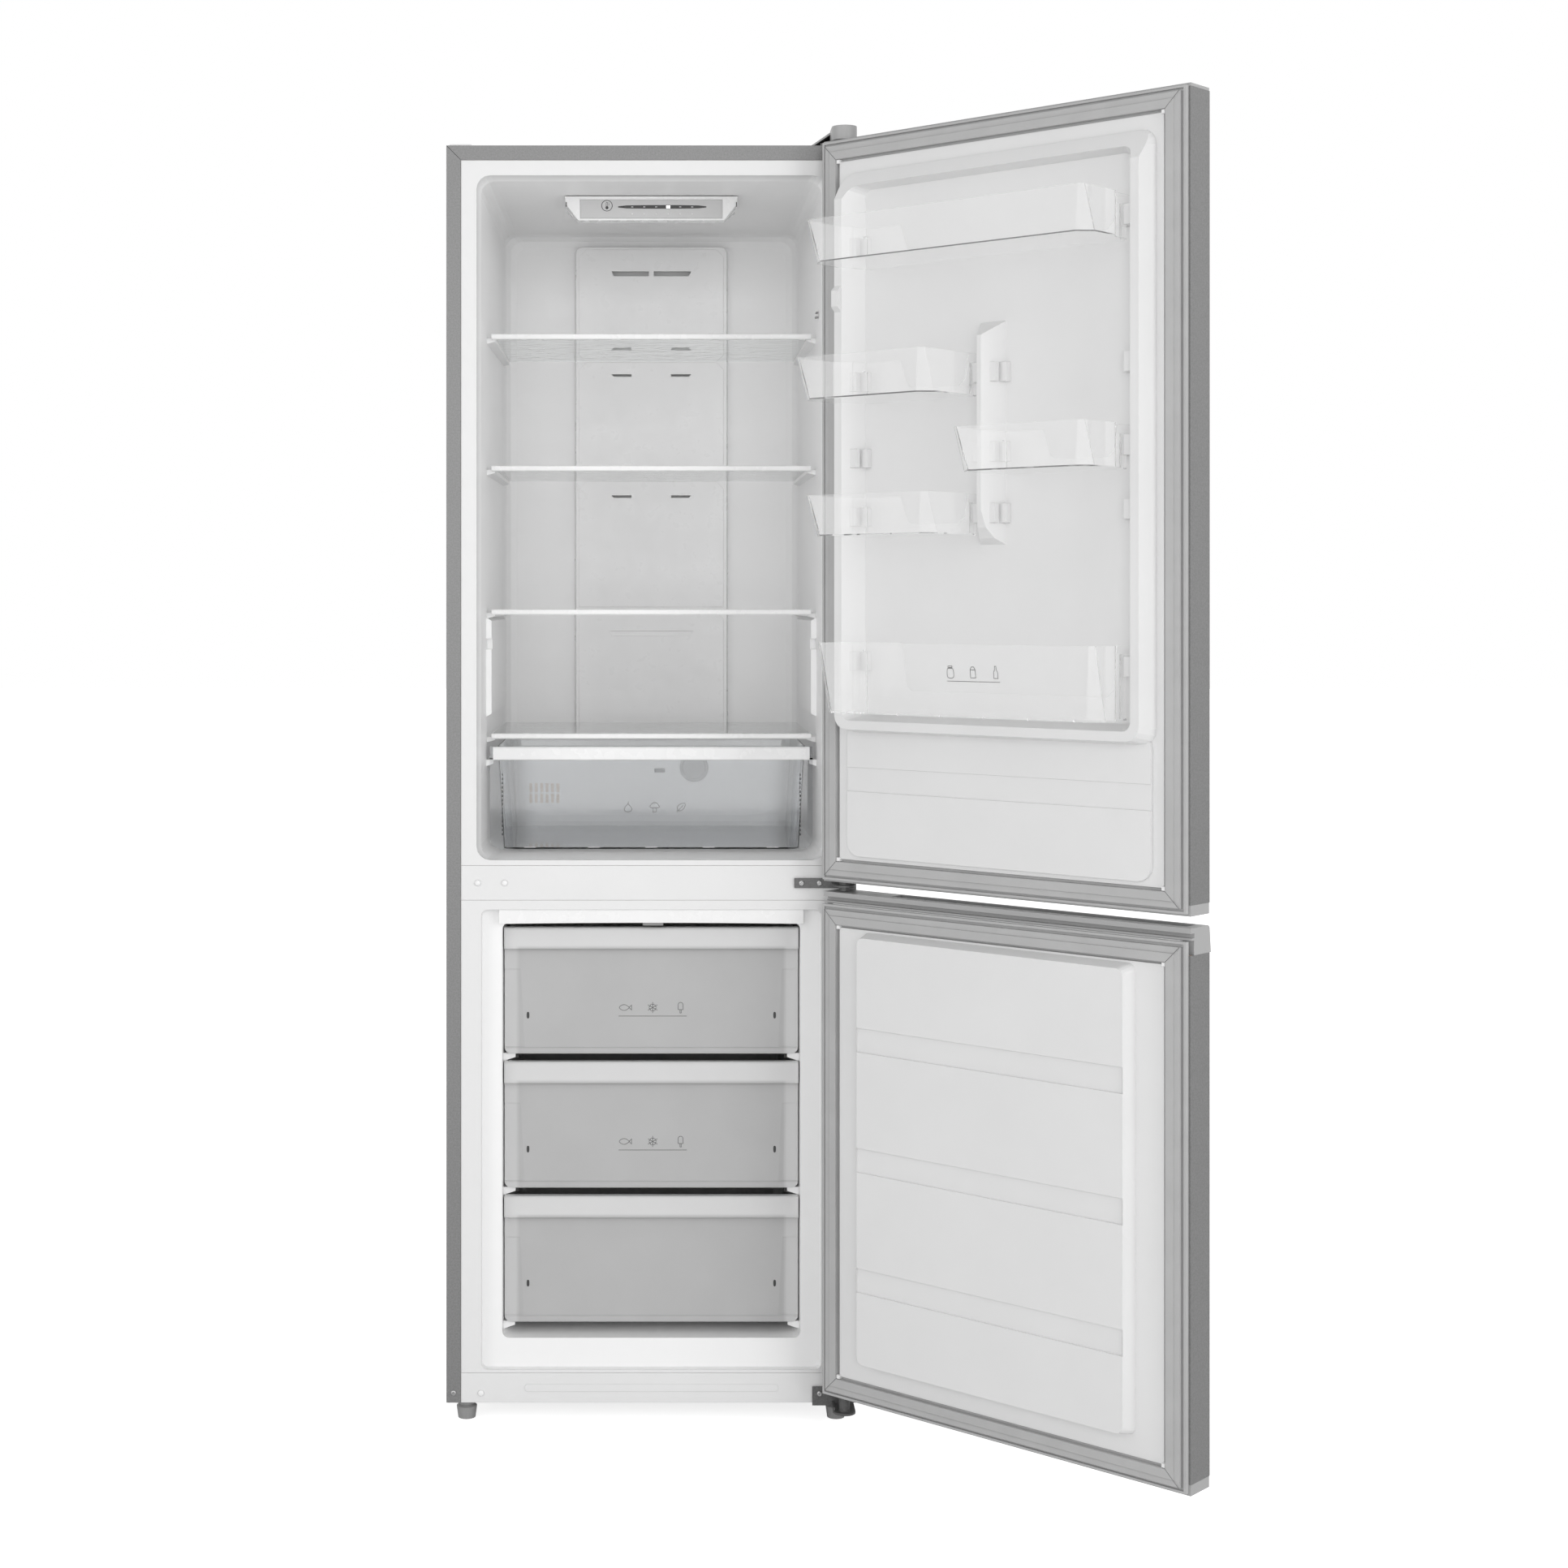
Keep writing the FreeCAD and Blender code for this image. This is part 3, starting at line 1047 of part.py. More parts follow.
def compressor():
    """Hermetic shell with its foot plate, terminal box and stub pipe."""
    x, y, z = compressor_place()
    r, h, seam = COMPRESSOR_RADIUS, COMPRESSOR_HEIGHT, COMPRESSOR_RADIUS + COMPRESSOR_SEAM
    length, width, thick = COMPRESSOR_FOOT
    foot_z = z + GROMMET_HEIGHT
    plate = box(x - length, x + length, y - width, y + width, foot_z, foot_z + thick)
    profile = [(0.7 * r, 0), (r, 0.18 * h), (r, 0.46 * h), (seam, 0.46 * h), (seam, 0.51 * h), (r, 0.51 * h),
               (r, 0.75 * h), (0.7 * r, h)]
    dome = turned(profile, (x, y), foot_z + thick / 2)
    depth, across, height = COMPRESSOR_TERMINAL
    middle = foot_z + h / 2 - COMPRESSOR_SEAM
    terminal = box(x + r - 4 * COMPRESSOR_SEAM, x + r + depth, y - across / 2, y + across / 2,
                   middle - height / 2, middle + height / 2)
    stub = rod(4 * PIPE_RADIUS / 3, (x - r + COMPRESSOR_SEAM, y, foot_z + COMPRESSOR_PORT), stub_reach(),
               (-1, 0, 0))
    return fuse([plate, dome, terminal, stub])


def stub_reach():
    """Length of the compressor's stub pipe, from inside its shell."""
    return 5 * PIPE_RADIUS


def compressor_mounts():
    """Rubber blocks under the compressor's foot plate."""
    deck = compressor_place()[2]
    profile = [(GROMMET_RADIUS, 0), (GROMMET_RADIUS, GROMMET_HEIGHT)]
    return group(turned(profile, spot, deck) for spot in grommet_spots())


def pipe_run(points, radius):
    """Tube in flats along straight runs, mitred at each bend."""
    stops = [Vector(*point) for point in points]
    runs = [(after - before).normalize() for before, after in zip(stops, stops[1:])]
    across = runs[0].cross(Vector(0, 0, 1))
    up = across.cross(runs[0])
    turns = [math.radians(360 * step / PIPE_STEPS) for step in range(PIPE_STEPS)]
    ring = [across * (radius * math.cos(turn)) + up * (radius * math.sin(turn)) for turn in turns]
    rings = [[stops[0] + point for point in ring]]
    for index, run in enumerate(runs):
        plane = run + runs[min(index + 1, len(runs) - 1)]
        stop = stops[index + 1]
        rings.append([point + run * ((stop - point).dot(plane) / run.dot(plane)) for point in rings[-1]])
    return skinned(rings)


def refrigerant_pipes():
    """Discharge pipe from the compressor through the drier to the deck wall."""
    x, y, z = compressor_place()
    start = x - COMPRESSOR_RADIUS + COMPRESSOR_SEAM - stub_reach() - SEAT_GAP
    height = z + GROMMET_HEIGHT + COMPRESSOR_PORT
    riser, top = start - PIPE_BEND, height + PIPE_RISE
    pipe = pipe_run([(start, y, height), (riser, y, height), (riser, y, top),
                     (riser, MACHINE_FRONT + SEAT_GAP, top)], PIPE_RADIUS)
    drier_low = height + (PIPE_RISE - DRIER_LENGTH) / 2
    drier = rod(3 * PIPE_RADIUS, (riser, y, drier_low), DRIER_LENGTH, (0, 0, 1))
    return pipe.fuse(drier).removeSplitter()


def drip_tray():
    """Evaporation tray beside the compressor, on the deck."""
    x0, x1 = HALF / 3, HALF - 5 * ROLLER_INSET / 4
    y0, y1 = MACHINE_FRONT + ROLLER_WIDTH, CABINET_DEPTH - GLAND_INSET
    low, wall = BASE_Z + BASE_SHEET, TRAY_WALL
    tray = box(x0, x1, y0, y1, low, low + TRAY_HEIGHT)
    return tray.cut(box(x0 + wall, x1 - wall, y0 + wall, y1 - wall, low + wall, low + TRAY_HEIGHT + PAST))


def machine_cover():
    """Rear cover of the machine compartment with cooling slots and the mains cable gland's hole."""
    half, thick, back = HALF - RIM_FACE - 2 * SHEET, COVER_THICKNESS, CABINET_DEPTH
    low, high = BASE_Z + BASE_SHEET + SEAT_GAP, MACHINE_TOP - SEAT_GAP
    plate = box(-half, half, back - thick, back, low, high)
    slots = []
    for row in range(COVER_SLOTS):
        z = low + (row + 2) * COVER_SLOT_PITCH
        slot = box(0.14 * half, 0.86 * half, back - thick - PAST, back + PAST, z, z + COVER_SLOT)
        slots += both_sides(slot)
    x, z, length = half - GLAND_INSET, low + 2 * GLAND_RADIUS, GLAND_LENGTH
    collar = rod(GLAND_RADIUS, (x, back - length + COVER_PROUD, z), length, (0, 1, 0))
    bore = rod(GLAND_BORE, (x, back - length, z), 2 * length, (0, 1, 0))
    return plate.cut(group(slots)).fuse(collar).cut(bore)


# ------------------------------------------------------------------ doors
def door_skin(low, high):
    """Steel front with folded sides and hems; the caps close its ends."""
    body = box(-HALF, HALF, SKIN_Y, REAR_Y, low, high)
    inner = box(-HALF + SHEET, HALF - SHEET, SKIN_Y + SHEET, REAR_Y - SHEET, low - 1, high + 1)
    opening = box(-HALF + HEM, HALF - HEM, SKIN_Y + SHEET + 1, REAR_Y + 1, low - 1, high + 1)
    return body.cut(inner).cut(opening)


def swing_clear(x):
    """How far back a closed door may reach at x, past its hinge, and still swing open."""
    return HINGE_Y + math.sqrt((HINGE_FORWARD - 2 * SEAT_GAP) ** 2 - max(0, x - HINGE_X) ** 2)


def door_gasket(low, high):
    """Bellows gasket all round the door: base, low outer lip, shoulder and magnet bar."""
    def ring(outer, inner, y0, y1):
        frame = box(outer - HALF, HALF - outer, y0, y1, low + outer, high - outer)
        return frame.cut(box(inner - HALF, HALF - inner, y0 - 1, y1 + 1, low + inner, high - inner))
    seat = REAR_Y + SKIN_GAP / 2
    root = REAR_Y + GASKET_DEPTH / 3
    base = ring(GASKET_INSET, GASKET_INNER, seat, root)
    lip = ring(GASKET_INSET, GASKET_INSET + GASKET_LIP, root - 1, REAR_Y + 0.6 * GASKET_DEPTH)
    edge, bar_inner = GASKET_INSET + 2 * GASKET_LIP, GASKET_INNER - GASKET_LIP
    shoulder = ring(edge, bar_inner, root - 1, swing_clear(HALF - edge))
    bar = ring(bar_inner - GASKET_BAR, bar_inner, root - 1, -SEAT_GAP)
    return fuse([base, lip, shoulder, bar])


def liner_rim(low, high, inset):
    """Flat border of a door liner, under the gasket, with its returned edge."""
    half = HALF - HEM - SEAT_GAP - inset
    return box(-half, half, REAR_Y - LINER_RETURN - 2 * inset, REAR_Y - inset, low + inset, high - inset)


def raised_border(low, high, inset):
    """Step of a door liner inside the gasket."""
    margin = GASKET_INNER + SEAT_GAP + inset
    return rounded_plate(HALF - margin, low + margin, high - margin, BORDER_RADIUS, REAR_Y - 2 * LINER_WALL,
                         LINER_Y - inset)


def dyke_top_y():
    return LINER_Y + DYKE_HEIGHT


def dyke_crest():
    """Height of the dykes' tops, the door closed."""
    return FRIDGE_TOP - MOUTH_FALL - WALL_DRAFT - DYKE_MARGIN


def pocket_low():
    return bin_low("bottle") - DYKE_TOP


def upper_liner_form(inset):
    """Solid form of the upper door's liner; an inset gives the form behind the sheet."""
    top_y, root_y = dyke_top_y(), LINER_Y - 2 * LINER_WALL - inset
    outer = FRIDGE_HALF - DYKE_MARGIN
    crest, foot = dyke_crest(), pocket_low() - DYKE_TOP
    dykes = drafted([
        (outer + DYKE_DRAFT - inset, foot - DYKE_DRAFT + inset, crest + DYKE_DRAFT - inset, CORNER_RADIUS,
         root_y),
        (outer - inset, foot + inset, crest - inset, CORNER_RADIUS, top_y - inset),
    ])

    def pocket_at(y):
        grow = (y - top_y) * POCKET_LEAN / DYKE_HEIGHT
        return (outer - DYKE_TOP + grow + inset, pocket_low() - grow / 2 - inset,
                crest - DYKE_TOP + grow / 2 + inset, POCKET_RADIUS + inset, y)
    pocket = drafted([pocket_at(LINER_Y - inset), pocket_at(top_y + 1)])
    panel_floor = FRIDGE_FLOOR + 2 * DYKE_MARGIN
    panel_y = LINER_Y + LOWER_PANEL_RISE - inset
    lower = rounded_plate(outer - inset, panel_floor + inset, foot + CORNER_RADIUS / 2 - inset, CORNER_RADIUS,
                          root_y, panel_y)
    band_low = panel_floor + LOWER_PANEL * 0.54 - inset
    band = box(-HALF, HALF, panel_y - GROOVE_DEPTH / 2, top_y, band_low, band_low + GROOVE_HEIGHT + 2 * inset)
    rim = liner_rim(UPPER_LOW + BOTTOM_CAP_FLANGE, UPPER_HIGH - CAP_FLANGE, inset)
    frame = dykes.cut(pocket).cut(slant(crest, inset))
    form = rim.multiFuse([raised_border(UPPER_LOW, UPPER_HIGH, inset), frame, lower.cut(band)])
    return form.cut(pocket).fuse(middle_rib(inset)).removeSplitter()


def slant(crest, inset):
    """Wedge that takes the dykes' upper ends down to the liner."""
    top_y = dyke_top_y()
    high = crest + SLANT_RISE - inset * math.hypot(SLANT_DEPTH, SLANT_RISE) / SLANT_DEPTH
    corners = [(top_y - 2 * SLANT_DEPTH, high), (top_y + SLANT_DEPTH, high - 3 * SLANT_RISE),
               (top_y + SLANT_DEPTH, high)]
    return prism([(-HALF, y, z) for y, z in corners], (CABINET_WIDTH, 0, 0))


def middle_rib(inset):
    """Rib with leaning sides down the middle of the upper door's liner, curved in at its foot."""
    z0, z1 = bin_low("left_lower") - RIB_BELOW, bin_low("left_upper") + RIB_ABOVE
    rings = []
    for share, fall in ((0, 0), (0.45, 0.18), (0.8, 0.5), (1, 1)):
        y = LINER_Y + DYKE_HEIGHT * share - inset
        half = RIB_FOOT - POCKET_LEAN * share - inset
        low, high = z0 + RIB_FALL * fall + inset, z1 - RIB_RISE * share - inset
        rings.append([(-half, y, low), (half, y, low), (half, y, high), (-half, y, high)])
    root = [(x, y - LINER_WALL, z) for x, y, z in rings[0]]
    return skinned([root] + rings)


def bin_low(name):
    """Underside of a door bin."""
    return FRIDGE_FLOOR + (FRIDGE_TOP - FRIDGE_FLOOR) * BINS[name][0]


def peg_top(name):
    """Top of the pegs that carry a bin."""
    return bin_low(name) + BINS[name][1] - PEG_DROP


def bin_span(name):
    """Free and hinge side ends of a bin, the door closed."""
    if name == "right":
        return -BIN_END, -BIN_RIB_END
    return (BIN_RIB_END if name in HALF_BINS else -BIN_END), BIN_END


def bin_ring(name, inset, z):
    """Plan outline of a bin at a height: square at the liner, wider past the dykes, its corners cut."""
    _, height, reach, hinge_wing = BINS[name]
    share = (z - bin_low(name)) / height
    x0, x1 = bin_span(name)
    left, right = x0 + inset, x1 - inset
    wide_left = left - (BIN_WING if x0 == -BIN_END else 0)
    wide_right = right + hinge_wing
    back = LINER_Y + BIN_BACK_GAP + inset
    front = LINER_Y + reach - BIN_FLARE * (1 - share) - inset
    corner = BIN_CORNER_TOP * share + BIN_CORNER_FOOT * (1 - share) - 0.6 * inset
    knee = dyke_top_y() + SEAT_GAP
    wide = knee + BIN_KNEE
    corners = [(left, back), (left, knee), (wide_left, wide), (wide_left, front - corner),
               (wide_left + corner, front), (wide_right - corner, front), (wide_right, front - corner),
               (wide_right, wide), (right, knee), (right, back)]
    return [(x, y, z) for x, y in corners]


def door_bin(name):
    """Clear bin: flared front, cut-down rear wall, slotted floor and a channel at each end over a peg."""
    x0, x1 = bin_span(name)
    low = bin_low(name)
    high = low + BINS[name][1]
    outer = skinned([bin_ring(name, 0, low), bin_ring(name, 0, high)])
    room = skinned([bin_ring(name, BIN_WALL, low + BIN_WALL), bin_ring(name, BIN_WALL, high + 1)])
    back = LINER_Y + BIN_BACK_GAP
    dip = low + 0.3 * (high - low)
    near, far = x0 + BIN_SHOULDER / 3, x1 - BIN_SHOULDER
    notch = [(near, high + 1), (near + 4, dip + 10), (near + 14, dip), (far - 22, dip), (far - 12, dip + 6),
             (far - 3, high - 8), (far, high + 1)]
    tray = outer.cut(room).cut(prism([(x, back - 1, z) for x, z in notch], (0, BIN_WALL + 2, 0)))
    channel_high = peg_top(name) + SEAT_GAP
    channel_y = LINER_Y + PEG_DEPTH + 1
    for end, side in ((x0, -1), (x1, 1)):
        tip = end - side * (PEG_REACH + 1)
        wall = sorted((end, tip - side * BIN_WALL))
        hollow = sorted((end + side, tip))
        tray = tray.fuse(box(*wall, back, channel_y + BIN_WALL, low, channel_high + BIN_WALL))
        tray = tray.cut(box(*hollow, back - 1, channel_y, low - 1, channel_high))
    count = 2 if name in HALF_BINS else 5
    slots = []
    for place in range(count):
        x = x0 + (x1 - x0) * (place + 1) / (count + 1)
        slots.append(box(x - BIN_SLOT / 2, x + BIN_SLOT / 2, back + BIN_SLOT, back + 1.3 * BIN_SLOT,
                         low - PAST, low + 2 * BIN_WALL))
    return tray.cut(group(slots)).removeSplitter()


def peg_pair(end, side, root, top):
    """Pegs on a leaning wall: one reaches into a bin's channel, the other stands clear of the bin."""
    pegs = []
    tips = (end - side * PEG_REACH, LINER_Y), (end + side * PEG_STEP, LINER_Y + PEG_DEPTH + PEG_SPACE)
    for tip, y in tips:
        pegs.append(box(*sorted((tip, root)), y, y + PEG_DEPTH, top - PEG_HEIGHT, top))
    return pegs


def bin_pegs():
    """Pegs on both dykes at every bin's level, and on both sides of the rib for the half bins."""
    pegs = []
    for name in BINS:
        pegs += peg_pair(BIN_END, 1, POCKET_FOOT + POCKET_LEAN, peg_top(name))
        if name in HALF_BINS:
            pegs += peg_pair(BIN_RIB_END, -1, 0, peg_top(name))
    return pegs + [mirrored(peg) for peg in pegs]


def upper_door_liner():
    """Sheet of the upper door's liner with its pegs and the pad on the hinge side's dyke."""
    form = upper_liner_form(0)
    liner = form.cut(upper_liner_form(LINER_WALL))
    return liner.multiFuse([peg.cut(form) for peg in bin_pegs()] + [dyke_pad()]).removeSplitter()


def dyke_pad():
    """Pad with slanted ends on the crest of the hinge side's dyke, over the top shelf."""
    low, crest = SHELF_TOPS[-1] + LEDGE_HEIGHT, dyke_top_y()
    high, proud = low + PAD_HEIGHT, crest + PAD_PROUD
    corners = [(crest - 1, low), (proud, low + PAD_PROUD), (proud, high - PAD_PROUD), (crest - 1, high)]
    outer = FRIDGE_HALF - DYKE_MARGIN
    return prism([(outer - DYKE_TOP + 1, y, z) for y, z in corners], (DYKE_TOP - 2, 0, 0))


def lower_liner_form(inset):
    """Solid form of the freezer door's liner with its raised, grooved panel."""
    half = FREEZER_HALF - PLATEAU_CLEARANCE
    inside = LOWER_HIGH - GASKET_DROP - GASKET_INNER - DYKE_DRAFT - SEAT_GAP
    foot, crest = FREEZER_FLOOR + PLATEAU_CLEARANCE, min(FREEZER_TOP - 2 * PLATEAU_CLEARANCE, inside)
    face = LINER_Y + PLATEAU_RISE - inset
    corner = CORNER_RADIUS / 2
    plateau = drafted([
        (half + DYKE_DRAFT - inset, foot - DYKE_DRAFT + inset, crest + DYKE_DRAFT - inset, corner,
         LINER_Y - 2 * LINER_WALL - inset),
        (half - inset, foot + inset, crest - inset, corner, face),
    ])
    pitch = (crest - foot) / 3.55
    for index in range(3):
        z = foot + 0.75 * (pitch - GROOVE_HEIGHT) + index * pitch
        plateau = plateau.cut(box(-half, half, face - GROOVE_DEPTH, face + LINER_WALL + 1, z - inset,
                                  z + GROOVE_HEIGHT + inset))
    rim = liner_rim(LOWER_LOW + BOTTOM_CAP_FLANGE, LOWER_HIGH - HANDLE_STEP - SEAT_GAP, inset)
    border = raised_border(LOWER_LOW, LOWER_HIGH - GASKET_DROP, inset)
    return rim.multiFuse([border, plateau]).removeSplitter()


def lower_door_liner():
    return lower_liner_form(0).cut(lower_liner_form(LINER_WALL))


def door_foam(low, high, form):
    """Foam between a door's skin, caps and liner."""
    inset = SHEET + SKIN_GAP
    body = box(-HALF + inset, HALF - inset, SKIN_Y + inset, REAR_Y - LINER_RETURN - SKIN_GAP, low, high)
    backed = form(LINER_WALL + SKIN_GAP)
    zone = box(-HALF, HALF, SKIN_Y + inset, CABINET_DEPTH, low, high)
    return body.fuse(backed.common(zone)).removeSplitter()


def end_cap(edge, flange, depth, direction):
    """Cap that closes a door's end: a flange flush with the skin and a plug inside it."""
    flange_end = edge - direction * flange
    z0, z1 = sorted((edge, flange_end))
    slab = box(-HALF, HALF, SKIN_Y, REAR_Y, z0, z1)
    upright = [side for side in slab.Edges if side.BoundBox.ZLength > flange / 2]
    slab = slab.makeFillet(CAP_RADIUS, [side for side in upright if side.BoundBox.YMin < SKIN_Y + PAST])
    z0, z1 = sorted((flange_end, edge - direction * depth))
    inset = SHEET + SKIN_GAP
    plug = box(-HALF + inset, HALF - inset, SKIN_Y + inset, REAR_Y - LINER_RETURN - 2 * SKIN_GAP, z0, z1)
    return slab.fuse(plug)


def pin_hole(z0, z1):
    return rod(PIN_RADIUS + PIN_CLEARANCE, (HINGE_X, HINGE_Y, z0), z1 - z0, (0, 0, 1))


def finger_groove(z0, z1, y0, width):
    """Groove along a door's edge, clear of the hinge."""
    return box(-HALF + GRIP_END_MARGIN, HINGE_X - GRIP_HINGE_MARGIN, y0, y0 + width, z0, z1)


def upper_door_caps():
    top = end_cap(UPPER_HIGH, CAP_FLANGE, CAP_DEPTH, 1)
    top = top.cut(pin_hole(UPPER_HIGH - PIN_ENGAGEMENT - PAST, UPPER_HIGH + PAST))
    bottom = end_cap(UPPER_LOW, BOTTOM_CAP_FLANGE, CAP_DEPTH, -1)
    bottom = bottom.cut(pin_hole(UPPER_LOW - PAST, UPPER_LOW + PIN_ENGAGEMENT + PAST))
    groove = finger_groove(UPPER_LOW - PAST, UPPER_LOW + LIP_GROOVE, SKIN_Y + GRIP_WALL, GRIP_WIDTH)
    return group([top, bottom.cut(groove)])


def lower_door_caps():
    bottom = end_cap(LOWER_LOW, BOTTOM_CAP_FLANGE, CAP_DEPTH, -1)
    return bottom.cut(pin_hole(LOWER_LOW - PAST, LOWER_LOW + PIN_ENGAGEMENT + PAST))


def lower_door_handle():
    """Grip profile along the lower door's top: leaning front, finger channel and end caps."""
    low, high = LOWER_HIGH - HANDLE_HEIGHT, LOWER_HIGH
    proud, brim = SKIN_Y - HANDLE_PROUD, high - HANDLE_BRIM
    groove, step = REAR_Y - HANDLE_REBATE[0], REAR_Y - HANDLE_REBATE[1]
    seat, foot = REAR_Y - LINER_RETURN - 2 * SKIN_GAP, high - HANDLE_STEP
    section = [(SKIN_Y + SHEET, low), (proud, low), (proud, low + SHEET), (SKIN_Y, high - HANDLE_PROUD),
               (SKIN_Y + HANDLE_PROUD, high), (REAR_Y, high), (REAR_Y, brim), (groove, brim),
               (groove, foot + HANDLE_PROUD), (step, foot + HANDLE_PROUD), (step, foot), (seat, foot),
               (seat, low)]
    bar = prism([(-HALF, y, z) for y, z in section], (CABINET_WIDTH, 0, 0))
    side, front = HALF + PAST, proud - PAST
    corner = [(side, front), (HALF - HANDLE_CORNER, front), (side, proud + HANDLE_CORNER)]
    bar = bar.cut(prism([(x, y, low - PAST) for x, y in corner], (0, 0, HANDLE_HEIGHT + 2 * PAST)))
    channel = finger_groove(high - GRIP_DEPTH, high + PAST, SKIN_Y + GRIP_WALL, GRIP_WIDTH)
    return bar.cut(channel).cut(pin_hole(high - PIN_ENGAGEMENT - PAST, high + PAST))


# ------------------------------------------------------------------ assembly
def save(name, shape):
    shape.exportStep(os.path.join("parts", name + ".step"))


def build():
    os.makedirs("parts", exist_ok=True)
    roller, foot = rear_roller(), front_foot()
    still = {
        "cabinet_shell": cabinet_shell(), "back_panel": back_panel(), "cabinet_foam": cabinet_foam(),
        "fridge_liner": fridge_liner(), "freezer_liner": freezer_liner(), "mullion_cover": mullion_cover(),
        "base_plate": base_plate(), "kick_panel": kick_panel(), "top_hinge": top_hinge(),
        "top_hinge_cover": top_hinge_cover(), "middle_hinge": middle_hinge(), "bottom_hinge": bottom_hinge(),
        "cabinet_screws": cabinet_screws(), "blanking_plugs": blanking_plugs(),
        "control_housing": control_housing(), "control_window": control_window(), "duct_cover": duct_cover(),
        "freezer_top_trim": freezer_top_trim(), "evaporator_cover": evaporator_cover(),
        "evaporator": evaporator(), "fan_motor": fan_motor(), "fan_blade": fan_blade(),
        "compressor": compressor(), "compressor_mounts": compressor_mounts(),
        "refrigerant_pipes": refrigerant_pipes(), "drip_tray": drip_tray(), "machine_cover": machine_cover(),
        "front_foot_right": foot, "front_foot_left": mirrored(foot),
        "rear_roller_right": roller, "rear_roller_left": mirrored(roller),
        "crisper_cover": crisper_cover(), "crisper_cover_trim": shelf_trim(COVER_TOP),
        "crisper_drawer": crisper_drawer(), "crisper_handle": crisper_handle(),
    }
    for name, top in zip(("lower", "middle", "upper"), SHELF_TOPS):
        still["shelf_" + name] = shelf_glass(top)
        still["shelf_trim_" + name] = shelf_trim(top)
    for index, name in enumerate(("lower", "middle", "upper")):
        still["freezer_drawer_" + name] = freezer_drawer(index)
    foam_end = CAP_DEPTH + SKIN_GAP
    handle_low = LOWER_HIGH - HANDLE_HEIGHT
    doors = {
        "upper_door_skin": door_skin(UPPER_LOW + BOTTOM_CAP_FLANGE, UPPER_HIGH - CAP_FLANGE),
        "upper_door_foam": door_foam(UPPER_LOW + foam_end, UPPER_HIGH - foam_end, upper_liner_form),
        "upper_door_liner": upper_door_liner(),
        "upper_door_gasket": door_gasket(UPPER_LOW, UPPER_HIGH),
        "upper_door_caps": upper_door_caps(),
        "lower_door_skin": door_skin(LOWER_LOW + BOTTOM_CAP_FLANGE, handle_low),
        "lower_door_foam": door_foam(LOWER_LOW + foam_end, handle_low - SKIN_GAP, lower_liner_form),
        "lower_door_liner": lower_door_liner(),
        "lower_door_gasket": door_gasket(LOWER_LOW, LOWER_HIGH - GASKET_DROP),
        "lower_door_handle": lower_door_handle(),
        "lower_door_caps": lower_door_caps(),
    }
    for name in BINS:
        doors["bin_" + name] = door_bin(name)
    for name, shape in still.items():
        save(name, shape)
    for name, shape in doors.items():
        save(name, door_opened(shape))
    print(len(still) + len(doors), "sub-parts written")


build()
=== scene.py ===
"""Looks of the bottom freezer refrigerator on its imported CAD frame: materials, small printed and moulded
details, studio light and the photograph's camera. Metres, +Z up, the front faces -Y."""
import math

import bmesh
import bpy
from mathutils import Matrix, Vector


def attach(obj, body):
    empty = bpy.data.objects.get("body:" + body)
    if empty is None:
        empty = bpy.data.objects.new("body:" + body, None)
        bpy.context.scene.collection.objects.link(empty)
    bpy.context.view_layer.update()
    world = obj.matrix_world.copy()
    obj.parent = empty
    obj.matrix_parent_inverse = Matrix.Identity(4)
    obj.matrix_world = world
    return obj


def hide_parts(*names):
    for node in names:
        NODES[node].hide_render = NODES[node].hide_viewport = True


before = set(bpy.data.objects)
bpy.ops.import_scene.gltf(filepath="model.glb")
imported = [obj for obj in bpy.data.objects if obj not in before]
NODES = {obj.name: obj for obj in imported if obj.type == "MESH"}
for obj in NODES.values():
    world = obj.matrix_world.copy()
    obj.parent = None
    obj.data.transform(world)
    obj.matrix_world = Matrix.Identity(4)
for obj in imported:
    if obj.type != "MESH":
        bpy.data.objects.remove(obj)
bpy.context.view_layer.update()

MM = 0.001

# Hinge axis and stop of the doors, which are detailed in their closed place and then swung open.
HINGE = Vector((0.2775, -0.034, 0.0))
STOP = 137.4               # degrees
OPEN = Matrix.Translation(HINGE) @ Matrix.Rotation(math.radians(STOP), 4, "Z") @ Matrix.Translation(-HINGE)

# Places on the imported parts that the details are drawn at, in millimetres.
HALF, SHELL_TOP = 297.5, 1855.0                 # half the cabinet's width, and its top
GAP_Z, FOOT_Z = 784.5, 44.0                     # heights of the middle hinge's and the foot screws
BRACKET_Y, PLUG_Y = -3.0, -0.6                  # fronts of the hinge brackets and of the blanking plugs
GASKET_HEIGHTS = {"upper": (792.0, 1853.0), "lower": (55.0, 763.0)}
BAR_OUTER, BAR_INNER = 10.0, 30.5               # edges of a gasket's bar, in from its own edge
DRAWER_FACE = 39.98                             # just inside the drawers' fronts
DRAWER_LOWS = {"lower": 136.5, "middle": 333.2, "upper": 529.8}
DRAWER_GRIPS = {"lower": 292.5, "middle": 489.0, "upper": 685.5}       # lower edges of their grips
CRISPER_FACE, CRISPER_FOOT = 122.2, 121.0
REAR_WALL = 523.8
WINDOW_Y, WINDOW_Z, WINDOW_LEAN = 143.22, 1789.0, 0.25
PRINT_HEIGHT = 0.12                             # how far printed lines stand off their face


# ------------------------------------------------------------------ material helpers
SOFT_EDGE = 0.0009         # radius, in metres, that a moulding's edges are shaded with
WHITE_LIGHT = (1.0, 1.0, 1.0, 1.0)


def lin(value):
    """Linear value of an 8 bit display value."""
    c = value / 255
    return c / 12.92 if c <= 0.04045 else ((c + 0.055) / 1.055) ** 2.4


def grey(value, warm=0.0):
    return (lin(value + warm), lin(value), lin(value - warm), 1.0)


